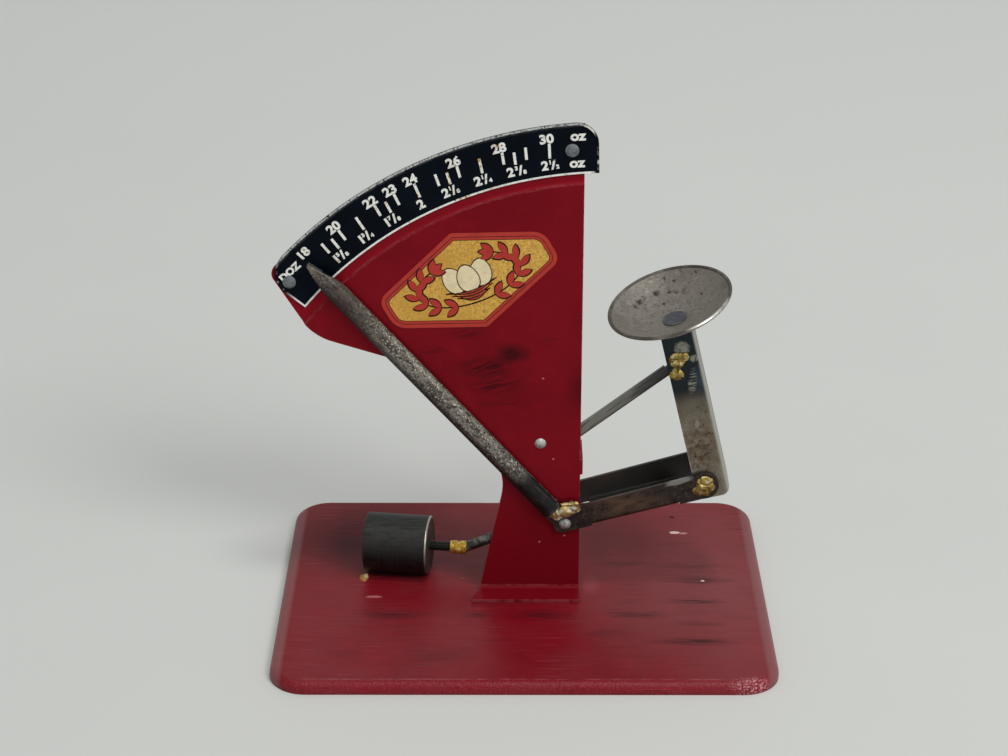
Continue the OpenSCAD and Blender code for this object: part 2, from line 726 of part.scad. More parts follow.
module pivot_washers() color(steel) for (y = [[arm_y1, panel_y0], [bracket_y1, rear_y0]])
    tube(main_pivot, y[0] + washer_play, y[1] - washer_play, pivot_r + washer_w, pivot_r + set_fit);

module weight_hub() color(dark_steel)
    tube(main_pivot, panel_y1 + hub_play, bracket_y0 - hub_play, hub_r, pivot_r + set_fit);

// A round rod between two points in space
module rod(a, b, r) {
    v = b - a;
    h = norm(v);
    translate(a) rotate([0, acos(v[2] / h), atan2(v[1], v[0])]) cylinder(r = r, h = h);
}

function weight_point(s) = [weight_face - s * cos(weight_yaw),
    bar_y + (bend_run + s) * sin(weight_yaw), weight_z];

// The round sleeve of braze where the bar meets the screw
module joint_sleeve() {
    rod(weight_point(-bend_run - joint_lap), weight_point(joint_len - bend_run), bar_r + joint_wall);
}

module weight_bar() color(dark_steel) difference() {
    knee = [bar_knee[0], bar_y, bar_knee[1]];
    union() {
        rod(weight_point(-bend_run), knee, bar_r);
        translate(knee) sphere(r = bar_r * 1.02);
        rod(knee, [main_pivot[0], bar_y, main_pivot[1]], bar_r);
    }
    pin(main_pivot, panel_y1, bracket_y0, hub_r);
    joint_sleeve();
}

module bar_braze() color(brass) joint_sleeve();

// Puts z along the screw's axis, from a point at the distance s beyond the weight's inner face
module on_screw(s) {
    translate(weight_point(s)) rotate([0, 0, -weight_yaw]) rotate([0, -90, 0]) children();
}

// The stud that the weight is screwed along
module weight_screw() color(black) on_screw(-screw_bare) cylinder(r = screw_r, h = screw_bare + screw_grip);

module counterweight() color(black) on_screw(0) rotate_extrude() difference() {
    lip = weight_r - weight_edge;
    union() {
        translate([0, weight_edge]) square([weight_r, weight_len - 2 * weight_edge]);
        square([lip, weight_len]);
        for (z = [weight_edge, weight_len - weight_edge]) translate([lip, z]) circle(r = weight_edge);
    }
    translate([-over, -over]) square([over + screw_r + set_fit, weight_len + 2 * over]);
}

// Pin through the arm's end; the post turns on it
module arm_pin() color(steel) {
    pin(arm_end, arm_y0, rear_y1, arm_pin_r);
    dome(arm_end, rear_y1, arm_pin_r + pin_lip, tail_h, false);
}

module arm_braze() color(brass) {
    // Each lump's place across and up from the pin, its radius and its height
    lumps = [[0.2, 0.6, 3.9, 1.7], [-2.4, -1.9, 2.6, 1.3], [1.6, 2.1, 2.5, 1.6], [0.8, -2.6, 2.2, 1.2]];
    for (l = lumps) dome(arm_end + [l[0], l[1]], arm_y0, l[2], l[3]);
}

// The post's side outline, from its lower pin upwards, left long at the top
module post_outline() {
    right = post_d - post_edge;
    top = post_len + seat_up + post_spare;
    polygon(rounded([[-post_edge, -post_tail, post_low_r[0]], [right, -post_tail, post_low_r[1]],
        [right, top, 0], [-post_edge, top, 0]]));
}

// Draws a section of the post up its whole length, with the post's back on the right
module post_prism() along(arm_end, post_lean) intersection() {
    sheet(post_y0, post_y1) post_outline();
    translate([post_d - post_edge, post_y0, -post_tail])
        linear_extrude(post_tail + post_len + seat_up + post_spare) rotate(90) children();
}

// Puts z along the dish's axis, from the middle of its seat
module dish_frame() translate([seat[0], seat_y, seat[1]]) rotate([dish_front, -dish_left, 0])
    children();

// A square plate in the dish's frame, wider than the dish
module seat_block(z, h) {
    dish_frame() translate([-2 * dish_r, -2 * dish_r, z]) cube([4 * dish_r, 4 * dish_r, h]);
}

// A channel that opens to the left, closed at the top by the sloping seat of the dish
module post() color(steel) difference() {
    w = post_y1 - post_y0;
    union() {
        post_prism() channel(w, post_d, post_t, post_bend_r);
        intersection() {
            post_prism() bent_block(w, post_d, post_bend_r);
            seat_block(-post_t, post_t);
        }
    }
    seat_block(0, post_len);
    dish_frame() translate([0, 0, -post_t - over]) cylinder(r = rivet_r + set_fit, h = post_t + 2 * over);
    pin(arm_end, post_y0 - over, post_y1 + over, arm_pin_r + run_fit);
    pin(post_top, post_y0 - over, post_y1 + over, link_pin_r + set_fit);
}

// A shallow pressed bowl with a flat seat and a rounded rim
module dish() color(steel) dish_frame() difference() {
    sink = dish_ball - sqrt(dish_ball * dish_ball - dish_flat_r * dish_flat_r);
    rim_z = dish_depth - sink;
    ball_in = dish_ball - dish_t;
    rim_in = sqrt(ball_in * ball_in - (dish_ball - dish_depth) * (dish_ball - dish_depth));
    union() {
        rotate_extrude($fn = 96) intersection() {
            translate([0, dish_ball - sink]) difference() {
                circle(r = dish_ball, $fn = 180);
                circle(r = ball_in, $fn = 180);
            }
            translate([dish_flat_r, -over]) square([dish_r, rim_z + over]);
        }
        cylinder(r = dish_flat_r + 0.2, h = dish_t);
        translate([0, 0, rim_z]) rotate_extrude($fn = 96)
            translate([(dish_r + rim_in) / 2, 0]) circle(r = (dish_r - rim_in) / 2, $fn = 24);
    }
    translate([0, 0, -over]) cylinder(r = rivet_r + set_fit, h = dish_t + 2 * over);
}

module dish_rivet() color(dark_steel) dish_frame() {
    translate([0, 0, -post_t]) cylinder(r = rivet_r, h = post_t + dish_t);
    translate([0, 0, dish_t]) cylinder(r = dish_flat_r - 0.4, h = dish_rivet_head);
    translate([0, 0, -post_t - dish_rivet_tail])
        cylinder(r = rivet_r + dish_rivet_lip, h = dish_rivet_tail);
}

module link_pin() color(steel) {
    pin(post_top, post_y0, post_y1, link_pin_r);
    dome(post_top, post_y1, link_pin_r + pin_lip, tail_h, false);
}

module post_braze() color(brass) along(post_top, post_lean) {
    // Each lump's place across and up from the pin, its radius and its height
    lumps = [[0.4, 2.6, 3.3, 1.1], [-1, -2.8, 2.7, 1], [3.6, 3.4, 1.9, 0.8]];
    for (l = lumps) dome([l[0], l[1]], post_y0, l[2], l[3]);
}

// A channel with its back to the viewer and a flat eye at each end
module stay_link() color(steel) along(anchor, stay_rise) difference() {
    x0 = stay_hub_r + eye_gap;
    x1 = stay_len - stay_eye_r - eye_gap;
    y1 = stay_y0 + stay_t;
    union() {
        for (x = [[0, x0], [x1, stay_len]])
            sheet(stay_y0, y1) translate([x[0], -stay_h / 2]) square([x[1] - x[0], stay_h]);
        sheet(stay_y0, y1) circle(r = stay_hub_r);
        sheet(stay_y0, y1) translate([stay_len, 0]) circle(r = stay_eye_r);
        translate([x0 - eps, stay_y0, -stay_h / 2]) rotate([90, 0, 90])
            linear_extrude(x1 - x0 + 2 * eps) mirror([1, -1]) channel(stay_h, stay_d, stay_t, stay_bend_r);
    }
    pin([0, 0], stay_y0 - over, y1 + over, link_pin_r + run_fit);
    pin([stay_len, 0], stay_y0 - over, y1 + over, link_pin_r + link_slack);
}

base_tray();
front_panel();
dial_plate();
dial_rivets();
badge_plate();
rear_bracket();
tie_rivet();
tie_spacer();
anchor_pin();
anchor_sleeve();
beam_arm();
pointer();
beam_braze();
beam_pin();
pivot_washers();
weight_hub();
weight_bar();
bar_braze();
weight_screw();
arm_pin();
arm_braze();
counterweight();
post();
dish();
dish_rivet();
link_pin();
post_braze();
stay_link();
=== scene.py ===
"""The looks of a farmhouse egg scale: red enamel, a black dial, a printed badge, worn steel and braze."""

import json
import math

import bmesh
import bpy
from bpy.props import FloatProperty, FloatVectorProperty, PointerProperty
from mathutils import Matrix, Vector, noise

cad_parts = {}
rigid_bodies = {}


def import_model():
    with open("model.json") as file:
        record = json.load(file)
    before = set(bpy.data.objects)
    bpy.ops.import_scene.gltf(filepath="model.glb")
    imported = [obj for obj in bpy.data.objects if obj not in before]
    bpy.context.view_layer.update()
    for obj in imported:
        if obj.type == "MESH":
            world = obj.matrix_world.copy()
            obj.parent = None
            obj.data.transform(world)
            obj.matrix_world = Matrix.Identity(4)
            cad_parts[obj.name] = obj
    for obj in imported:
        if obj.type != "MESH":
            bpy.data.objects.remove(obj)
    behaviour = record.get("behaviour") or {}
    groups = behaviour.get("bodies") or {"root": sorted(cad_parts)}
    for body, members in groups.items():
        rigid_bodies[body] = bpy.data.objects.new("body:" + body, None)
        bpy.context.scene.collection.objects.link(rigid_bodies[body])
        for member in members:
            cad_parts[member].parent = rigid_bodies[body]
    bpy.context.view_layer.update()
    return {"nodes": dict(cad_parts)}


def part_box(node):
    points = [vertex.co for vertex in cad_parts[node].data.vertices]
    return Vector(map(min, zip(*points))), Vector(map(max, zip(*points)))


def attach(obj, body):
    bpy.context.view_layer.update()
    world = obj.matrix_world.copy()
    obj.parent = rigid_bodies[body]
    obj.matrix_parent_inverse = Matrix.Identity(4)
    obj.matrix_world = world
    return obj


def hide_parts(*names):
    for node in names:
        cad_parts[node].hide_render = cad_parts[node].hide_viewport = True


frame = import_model()

bl_info = {
    "name": "Farmhouse egg scale",
    "version": (1, 0, 0),
    "blender": (4, 5, 0),
    "location": "3D View > Sidebar > Egg scale",
    "description": "Gives a farmhouse egg scale its enamel, dial figures, badge, worn metal and braze",
    "category": "Object",
}

MM = 0.001
# Turns a flat drawing, made in X and Y, upright so that it faces the viewer
UPRIGHT = Matrix.Rotation(math.radians(90), 4, "X")


def linear(code):
    """The linear red, green, blue and alpha of an sRGB hex colour"""
    parts = [int(code[i:i + 2], 16) / 255 for i in (1, 3, 5)]
    return [c / 12.92 if c <= 0.04045 else ((c + 0.055) / 1.055) ** 2.4 for c in parts] + [1.0]


def colour_property(name, description, code):
    """A colour that a user may change"""
    return FloatVectorProperty(name=name, description=description, subtype="COLOR", size=4,
                               min=0.0, max=1.0, default=linear(code))


def length_property(name, description, millimetres):
    """A length that a user may change"""
    return FloatProperty(name=name, description=description, unit="LENGTH", subtype="DISTANCE",
                         min=0.0, default=millimetres * MM)


class EggScaleEnamel(bpy.types.PropertyGroup):
    """The painted sheet"""
    red: colour_property("Red", "Sound enamel of the base, panel and bracket", "#7d0d1b")
    # Rubbed also colours the painted shade in the enamel's hollows
    rubbed: colour_property("Rubbed", "Dark marks where the enamel was rubbed", "#32090f")
    primer: colour_property("Worn edge", "Paler coat that shows along worn edges", "#b4666a")
    peel: FloatProperty(name="Orange peel", description="Height of the enamel's ripple in millimetres",
                        default=0.012, min=0.0, max=0.1)


class EggScaleDial(bpy.types.PropertyGroup):
    """The dial's enamel and lettering"""
    ground: colour_property("Ground", "Blue-black enamel of the dial", "#050b13")
    white: colour_property("White", "Paint on the raised figures, marks and rim", "#f3f3ee")
    centre_x: length_property("Centre across", "Dial's arc centre, right of the base's middle", 30.7)
    centre_z: length_property("Centre height", "Dial's arc centre above the table", 34.5)
    upper_radius: length_property("Upper row", "Radius of the row of whole figures", 159.3)
    lower_radius: length_property("Lower row", "Radius of the row of egg weights", 149.3)
    upper_height: length_property("Upper figures", "Height of the whole figures", 3.4)
    lower_height: length_property("Lower figures", "Height of the egg weights", 3.4)
    bold: length_property("Boldness", "How far the strokes are fattened on each side", 0.18)


class EggScaleBadge(bpy.types.PropertyGroup):
    """The printed badge"""
    gold: colour_property("Gold", "Mottled field of the badge", "#dcab4a")
    red: colour_property("Red-orange", "Border bands and grains of wheat", "#b83a31")
    line: colour_property("Line", "Thin printed outlines", "#2a0f0a")
    egg: colour_property("Egg", "Shells of the three eggs", "#eeddb4")


class EggScaleStage(bpy.types.PropertyGroup):
    """Floor, light and camera"""
    floor: colour_property("Floor", "Plain pale floor", "#dadcd8")
    background: colour_property("Background", "What polished metal and the camera see around", "#cdd2d0")
    key: FloatProperty(name="Key lamp", description="Power of the soft lamp at the right front",
                       unit="POWER", default=28.0, min=0.0)
    top: FloatProperty(name="Top lamp", description="Power of the lamp overhead", unit="POWER",
                       default=4.6, min=0.0)
    fill: FloatProperty(name="Fill", description="Strength of the light from all round", default=0.39,
                        min=0.0)
    lens: FloatProperty(name="Lens", description="Focal length on a 36 mm wide picture",
                        unit="CAMERA", default=80.07, min=10.0)


class Finish:
    """A material in the making: layers laid over a ground, at places of the object in millimetres"""

    def __init__(self, name, colour, rough, metallic=0.0, **sockets):
        self.material = bpy.data.materials.new(name)
        self.material.use_nodes = True
        self.tree = self.material.node_tree
        self.shader = self.tree.nodes["Principled BSDF"]
        for socket, value in sockets.items():
            self.shader.inputs[socket.replace("_", " ")].default_value = value
        self.colour = colour if isinstance(colour, list) else linear(colour)
        self.rough = rough
        self.metallic = metallic
        self.height = 0.0
        metres = self.add("TexCoord", pick="Object")
        self.place = self.add("VectorMath", {0: metres, "Scale": 1 / MM}, operation="SCALE")

    def add(self, kind, inputs=None, pick=None, **settings):
        """Adds a node with its settings, and gives each input a value or a link; returns an output"""
        node = self.tree.nodes.new("ShaderNode" + kind)
        for name, value in settings.items():
            setattr(node, name, value)
        for key, value in (inputs or {}).items():
            if isinstance(value, bpy.types.NodeSocket):
                self.tree.links.new(value, node.inputs[key])
            else:
                node.inputs[key].default_value = value
        return node.outputs[pick] if pick else next(s for s in node.outputs if s.enabled)

    def turned(self, degrees):
        """The place, turned about Y so that a line which rises by that angle runs along X"""
        return self.add("VectorRotate", {"Vector": self.place, "Axis": (0, 1, 0),
                                         "Angle": math.radians(degrees)}, rotation_type="AXIS_ANGLE")

    def cloud(self, size, low, high, seed=0.0, detail=3.0, place=None):
        """Soft blotches of a size, or of three sizes along the axes: none below low, full at high"""
        sizes = size if isinstance(size, tuple) else (size,) * 3
        shrunk = self.add("VectorMath", {0: place or self.place, 1: sizes}, operation="DIVIDE")
        pattern = self.add("TexNoise", {"Vector": shrunk, "W": seed, "Scale": 1.0, "Detail": detail},
                           noise_dimensions="4D")
        return self.add("MapRange", {"Value": pattern, "From Min": low, "From Max": high})

    def specks(self, spacing, radius, share, seed=0.0, place=None):
        """Ragged spots of up to a radius, in a share of the places that lie a spacing apart"""
        spread = self.add("TexNoise", {"Vector": place or self.place, "W": seed, "Scale": 1 / radius},
                          pick="Color", noise_dimensions="4D")
        bent = self.add("VectorMath", {0: spread, 1: (radius,) * 3, 2: place or self.place},
                        operation="MULTIPLY_ADD")
        cells = self.add("TexVoronoi", {"Vector": bent, "W": seed, "Scale": 1 / spacing},
                         voronoi_dimensions="4D", pick="Distance")
        chance = self.add("SeparateColor", {0: cells.node.outputs["Color"]})
        reach = self.add("MapRange", {"Value": chance, "From Min": 1 - share, "From Max": 1.0,
                                      "To Max": radius / spacing})
        depth = self.add("Math", {0: reach, 1: cells}, operation="SUBTRACT")
        return self.add("MapRange", {"Value": depth, "From Min": 0.0,
                                     "From Max": 0.35 * radius / spacing})

    def patch(self, centre, reach, soft=0.5, ragged=0.0, seed=0.0, full=1.0, place=None):
        """An area round a place, fading out at its reach along X, Y and Z, and full in its middle"""
        from_centre = self.add("VectorMath", {0: place or self.place, 1: centre}, operation="SUBTRACT")
        scaled = self.add("VectorMath", {0: from_centre, 1: reach}, operation="DIVIDE")
        distance = self.add("VectorMath", {0: scaled}, operation="LENGTH")
        if ragged:
            grain = self.add("TexNoise", {"Vector": scaled, "W": seed, "Scale": 1.6},
                             noise_dimensions="4D")
            distance = self.add("Math", {0: grain, 1: ragged, 2: distance}, operation="MULTIPLY_ADD")
        return self.add("MapRange", {"Value": distance, "From Min": 1.0 + ragged / 2,
                                     "From Max": 1.0 + ragged / 2 - soft, "To Max": full})

    def edges(self, radius, low=0.02, high=0.12):
        """The sharp edges, as far as a radius reaches from them"""
        rounded = self.add("Bevel", {"Radius": radius * MM}, samples=6)
        normal = self.add("NewGeometry", pick="Normal")
        likeness = self.add("VectorMath", {0: rounded, 1: normal}, operation="DOT_PRODUCT")
        return self.add("MapRange", {"Value": likeness, "From Min": 1 - low, "From Max": 1 - high})

    def hollows(self, distance, low=0.15, high=0.7):
        """Corners and crevices that are closed in within a distance"""
        open_share = self.add("AmbientOcclusion", {"Distance": distance * MM}, pick="AO", samples=8)
        return self.add("MapRange", {"Value": open_share, "From Min": 1 - low, "From Max": 1 - high})

    def facing(self, direction, low, high):
        """Where the surface faces a direction: none below low and full at high, as cosines"""
        normal = self.add("TexCoord", pick="Normal")
        likeness = self.add("VectorMath", {0: normal, 1: direction}, operation="DOT_PRODUCT")
        return self.add("MapRange", {"Value": likeness, "From Min": low, "From Max": high})

    def along_axis(self, axis, place=None):
        """A coordinate: 0 for X, 1 for Y or 2 for Z"""
        return self.add("SeparateXYZ", {0: place or self.place}).node.outputs[axis]

    def reach_along(self, direction):
        """How far a place lies along a direction"""
        return self.add("VectorMath", {0: self.place, 1: direction}, operation="DOT_PRODUCT")

    def beyond(self, axis, start, full, place=None):
        """Where a coordinate has passed from a start to the value at which the mask is full"""
        return self.add("MapRange", {"Value": self.along_axis(axis, place), "From Min": start,
                                     "From Max": full})

    def near(self, value, target, reach, full=0.0):
        """Where a value lies less than a reach from a target, and full where it lies very near"""
        off = self.add("Math", {0: value, 1: target}, operation="SUBTRACT")
        off = self.add("Math", {0: off}, operation="ABSOLUTE")
        return self.add("MapRange", {"Value": off, "From Min": reach, "From Max": full})

    def ring(self, centre, radius, reach, full=0.0):
        """A thin round line about an axis along Y"""
        flat = self.add("VectorMath", {0: self.place, 1: (1, 0, 1)}, operation="MULTIPLY")
        middle = (centre[0], 0, centre[1])
        distance = self.add("VectorMath", {0: flat, 1: middle}, operation="DISTANCE")
        return self.near(distance, radius, reach, full)

    def where(self, *masks, operation="MULTIPLY"):
        """The places that lie in all of these masks"""
        joined = masks[0]
        for mask in masks[1:]:
            joined = self.add("Math", {0: joined, 1: mask}, operation=operation)
        return joined

    def either(self, *masks):
        """The places that lie in any of these masks"""
        return self.where(*masks, operation="MAXIMUM")

    def coat(self, mask, colour=None, rough=None, metallic=None, height=0.0):
        """Lays a finish over what is there, as far as a mask reaches; height is in millimetres"""
        if colour is not None:
            tint = colour if isinstance(colour, list) else linear(colour)
            self.colour = self.add("Mix", {0: mask, 6: self.colour, 7: tint}, data_type="RGBA")
        if rough is not None:
            self.rough = self.add("Mix", {0: mask, 2: self.rough, 3: rough}, data_type="FLOAT")
        if metallic is not None:
            self.metallic = self.add("Mix", {0: mask, 2: self.metallic, 3: metallic},
                                     data_type="FLOAT")
        if height:
            self.height = self.add("Math", {0: mask, 1: height, 2: self.height},
                                   operation="MULTIPLY_ADD")

    def done(self, edge=0.15):
        """Joins the layers to the shader, over edges that are rounded by a radius"""
        rounded = self.add("Bevel", {"Radius": edge * MM}, samples=4)
        bumpy = self.add("Bump", {"Height": self.height, "Distance": MM, "Normal": rounded})
        for socket, value in {"Base Color": self.colour, "Roughness": self.rough,
                              "Metallic": self.metallic, "Normal": bumpy}.items():
            if isinstance(value, bpy.types.NodeSocket):
                self.tree.links.new(value, self.shader.inputs[socket])
            else:
                self.shader.inputs[socket].default_value = value
        return self.material


def dress(material, *nodes):
    """Gives CAD nodes a material, in the slots that they have"""
    for name in nodes:
        for slot in frame["nodes"][name].material_slots:
            slot.material = material


def new_piece(name, mesh_data, body, slot, materials, *replaced):
    """Puts a finished mesh into the scene as a piece that moves with a body"""
    piece = bpy.data.objects.new(name, mesh_data)
    bpy.context.scene.collection.objects.link(piece)
    for material in materials:
        mesh_data.materials.append(material)
    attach(piece, body)
    if replaced:
        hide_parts(*replaced)
    return piece


def sprayed_enamel(name, look, seed, shine, mottle):
    """Oil enamel sprayed on pressed steel: a deep red skin with a ripple, dull grime, fine specks and painted
    shade in its hollows
    """
    paint = Finish(name, list(look.red), 0.34, IOR=1.5, Specular_IOR_Level=shine)
    darker = [c * (1 - mottle) for c in look.red[:3]] + [1.0]
    paint.coat(paint.cloud(38, 0.42, 0.68, seed), darker, rough=0.44)
    paint.coat(paint.cloud(7, 0.5, 0.8, seed + 3), [c * 1.12 for c in look.red[:3]] + [1.0])
    paint.coat(paint.cloud(0.9, 0.3, 0.7, seed + 5), height=look.peel)
    paint.coat(paint.cloud(11, 0.5, 0.72, seed + 7), rough=0.28)
    paint.coat(paint.specks(3.4, 0.32, 0.3, seed), list(look.rubbed), rough=0.6, height=-0.01)
    broken = paint.where(paint.edges(0.7), paint.cloud(2.6, 0.42, 0.62, seed + 9))
    paint.coat(broken, list(look.primer), rough=0.5, height=-0.015)
    # Painted shade: the hollows are darkened with the rubbed colour
    paint.coat(paint.hollows(3.0), list(look.rubbed), rough=0.7)
    return paint


def enamelled_base(look):
    """The base's enamel: hazed on top, rubbed in fine dark streaks, with a crinkled front roll, a painted
    sheen on the right and along the side rolls and a painted shadow at the back left
    """
    paint = sprayed_enamel("enamelled_base", look, 1.0, 0.18, 0.16)
    haze = paint.where(paint.cloud(30, 0.36, 0.6, 4), paint.cloud((14, 1.2, 5), 0.3, 0.66, 6))
    paint.coat(haze, [c * 0.86 + 0.012 for c in look.red[:3]] + [1.0], rough=0.4)
    # Painted sheen: a paler pinkish-grey veil over the right part of the top
    paint.coat(paint.patch((78, -6, 4.6), (56, 96, 9), soft=1.0, full=0.3), "#8d6464", rough=0.42)
    # Painted shadow: darker at the back left, behind the weight
    paint.coat(paint.patch((-66, 40, 4.6), (44, 40, 9), soft=0.8, full=0.85), "#3c0b11", rough=0.6)
    # Middle of each rubbed area, its reach and how strongly it is rubbed, seen from above
    rubbed = [((40, 17.4), (14, 3), 0.6), ((66, 15.8), (18, 3), 0.5), ((69.5, 4.2), (17, 3.8), 1.0),
              ((68, -11.7), (16, 2.6), 1.0), ((44, -21.7), (16, 3.4), 0.75), ((66, -28), (11, 2.2), 0.5),
              ((65, -40.7), (21, 3.4), 1.0), ((32, -35), (11, 4.6), 0.5), ((-49, -21.9), (20, 4), 0.7),
              ((-18, -21.5), (7, 3), 0.9), ((-32, -50), (17, 9), 0.5), ((6, -22), (14, 5), 0.8)]
    areas = [paint.patch((x, y, 4.6), (long, wide, 4), soft=0.8, full=strength)
             for (x, y), (long, wide), strength in rubbed]
    lines = paint.cloud((15, 0.4, 5), 0.44, 0.54, 8, detail=4.0)
    paint.coat(paint.where(paint.either(*areas), lines), "#2a0c12", rough=0.55, height=-0.02)
    lit = paint.where(paint.cloud((24, 0.5, 5), 0.58, 0.72, 12), paint.cloud(30, 0.45, 0.6, 13))
    paint.coat(lit, "#9a3c48", rough=0.45)
    paint.coat(paint.patch((26.4, 1.8, 4.6), (4.4, 9, 3), soft=0.6, ragged=0.6, full=0.5), "#94404a")
    hairs = paint.where(paint.cloud((26, 0.34, 5), 0.55, 0.66, 18, detail=5.0), paint.cloud(34, 0.4, 0.6, 19))
    paint.coat(hairs, "#4a1119", rough=0.45)
    roll = paint.beyond(1, -66.2, -68.0)
    paint.coat(roll, rough=0.24)
    paint.coat(paint.where(roll, paint.cloud(0.8, 0.36, 0.62, 14)), "#861c29", height=0.1)
    paint.coat(paint.where(roll, paint.cloud(0.6, 0.58, 0.74, 15)), "#9c414b")
    crest = paint.where(paint.near(paint.along_axis(1), -66.6, 0.6), paint.cloud(5, 0.42, 0.6, 16))
    paint.coat(crest, "#96474d", rough=0.4)
    glint = paint.where(paint.patch((85.4, -69, 3), (11, 5, 6), soft=0.8), paint.cloud(0.7, 0.5, 0.62, 17))
    paint.coat(glint, "#d99ca2", rough=0.2)
    # Painted sheen: paler along the left and right rolls
    across = paint.add("Math", {0: paint.along_axis(0)}, operation="ABSOLUTE")
    paint.coat(paint.add("MapRange", {"Value": across, "From Min": 89.8, "From Max": 91.4,
                                      "To Max": 0.4}), "#8f6a6c", rough=0.4)
    # Place, reach and colour of each chip
    chips = [((62.3, 42.5), (2.3, 1.2), "#ecd0cb"), ((65.9, 41.9), (1.9, 0.8), "#c98d8c"),
             ((71.1, 3.9), (0.8, 0.6), "#ecd6d2"),
             ((62.1, 55.3), (1.3, 0.9), "#3a1013"), ((-63.3, 6.4), (1.9, 3.4), "#b9803f"), ((-62.7, 7.6), (0.9, 2.0), "#e4cf9f"),
             ((-58.7, -8.4), (3.6, 1.0), "#ab6064"), ((-24, 6), (1.2, 0.6), "#84502f")]
    for i, ((x, y), (long, wide), code) in enumerate(chips):
        chip = paint.patch((x, y, 4.6), (long, wide, 3), soft=0.25, ragged=1.1, seed=i * 5.1)
        paint.coat(chip, code, rough=0.6, height=-0.05)
    return paint.done(0.25)


def enamelled_panel(look):
    """The panel's enamel, with dark curved scuffs below the badge and worn lines at its bends, a painted
    shadow of the dish at its right edge, painted shade lower down and a painted highlight along the step
    below the dial
    """
    paint = sprayed_enamel("enamelled_panel", look, 11.0, 0.06, 0.14)
    outside = paint.facing((0, -1, 0), 0.3, 0.6)
    # Middle of each scuffed area, its reach, its rise in degrees and how strong it is
    scuffed = [((-4.5, 107.2), (7.5, 5.2), 26, 0.85), ((-14.5, 101.6), (12, 5.4), 20, 0.8),
               ((-11, 94.4), (14, 5), 18, 0.8), ((-8, 87.2), (12, 3.4), 14, 0.5),
               ((-34, 108.5), (7, 2.4), 8, 0.5), ((-22, 115.5), (10, 3.4), 16, 0.4),
               ((10, 112), (6, 3), 10, 0.3)]
    for i, ((x, z), (long, high), rise, strength) in enumerate(scuffed):
        area = paint.patch((x, -3, z), (long, 4, high), soft=0.7, full=strength, ragged=0.5, seed=i)
        area = paint.where(area, outside)
        dense = (0.3, 0.38)[i] if i < 2 else 0.46
        lines = paint.cloud((9, 4, 0.42), dense, dense + 0.12, 20 + i * 1.7, place=paint.turned(rise))
        paint.coat(paint.where(area, lines), "#2d0a10", rough=0.42, height=-0.02)
    # Painted shadow of the dish on the panel's right edge
    handled = paint.patch((22, -3, 93), (7, 5, 13), soft=0.9, ragged=0.3, full=0.6)
    paint.coat(paint.where(handled, outside), "#3c0a12")
    lighter = [c * 1.22 for c in look.red[:3]] + [1.0]
    paint.coat(paint.ring((30.7, 34.5), 150.4, 9.4, 9.0), lighter)
    # Painted shade: darker towards the bottom
    paint.coat(paint.beyond(2, 62, 24), [c * 0.84 for c in look.red[:3]] + [1.0])
    # Painted highlight: a pale broken line along the upward face of the step below the dial
    step = paint.where(paint.ring((30.7, 34.5), 140.9, 0.5), paint.cloud(16, 0.3, 0.5, 31),
                       paint.cloud(1.8, 0.3, 0.6, 32))
    paint.coat(step, "#8b3a3c", rough=0.5)
    low = paint.beyond(2, 8.0, 7.0)
    front = paint.near(paint.along_axis(1), -12.5, 0.5)
    bend = paint.near(paint.along_axis(2), 6.9, 0.55)
    worn = paint.where(low, paint.either(front, bend), paint.cloud(4, 0.36, 0.56, 33))
    paint.coat(worn, "#8c3a41", rough=0.45)
    for i, (x, z) in enumerate([(7.1, 97), (11.2, 62.8), (15.8, 29.2), (6.1, 26.4), (12.4, 45)]):
        chip = paint.patch((x, -3, z), (0.5, 2, 0.4), soft=0.3, ragged=1.0, seed=i * 3.3)
        paint.coat(chip, "#bd6a70", rough=0.6)
    return paint.done(0.2)


def enamelled_bracket(look):
    """The same enamel at the back, thinner and duller, as hidden faces are"""
    paint = sprayed_enamel("enamelled_bracket", look, 23.0, 0.3, 0.25)
    paint.coat(paint.cloud(14, 0.48, 0.7, 25), [c * 0.6 for c in look.red[:3]] + [1.0], rough=0.6)
    return paint.done(0.2)


class EGGSCALE_OT_enamel(bpy.types.Operator):
    """Paint the base, the panel and the bracket behind it"""
    bl_idname = "eggscale.enamel"
    bl_label = "Paint the sheet"

    def execute(self, context):
        look = context.scene.egg_scale_enamel
        dress(enamelled_base(look), "base_tray")
        dress(enamelled_panel(look), "front_panel")
        dress(enamelled_bracket(look), "rear_bracket")
        return {"FINISHED"}


def lettering(runs, bold, widen=1.12):
    """One line of built-in lettering as a thin solid, widened and centred on its own middle.

    Each run has its text, its height, how far it is lifted and the gap behind it."""
    shape = bmesh.new()
    cursor = 0.0
    cap_share = 0.729
    for text, height, lift, gap in runs:
        curve = bpy.data.curves.new("lettering", "FONT")
        curve.body = text
        curve.size = height / cap_share
        curve.offset = bold * (height / runs[0][1]) ** 0.5
        curve.extrude = 0.15 * MM
        curve.resolution_u = 4
        holder = bpy.data.objects.new("lettering", curve)
        glyphs = bpy.data.meshes.new_from_object(holder)
        left = min(v.co.x for v in glyphs.vertices)
        right = max(v.co.x for v in glyphs.vertices)
        glyphs.transform(Matrix.Translation((cursor - left * widen, lift, 0)) @
                         Matrix.Scale(widen, 4, (1, 0, 0)))
        shape.from_mesh(glyphs)
        cursor += (right - left) * widen + gap
        for block in (holder, curve, glyphs):
            bpy.data.batch_remove([block])
    middle = (min(v.co.x for v in shape.verts) + max(v.co.x for v in shape.verts)) / 2
    half = runs[0][1] / 2
    bmesh.ops.translate(shape, verts=shape.verts, vec=(-middle, -half, 0))
    return shape


def fraction(whole, top, bottom, height):
    """The runs of a whole number and a small fraction that is tucked round its slash"""
    small = height * 0.42
    tuck = -0.04 * height
    return [(whole, height, 0.0, 0.14 * height), (top, small, height - small, tuck),
            ("/", height, 0.0, tuck), (bottom, small, 0.0, 0.0)]


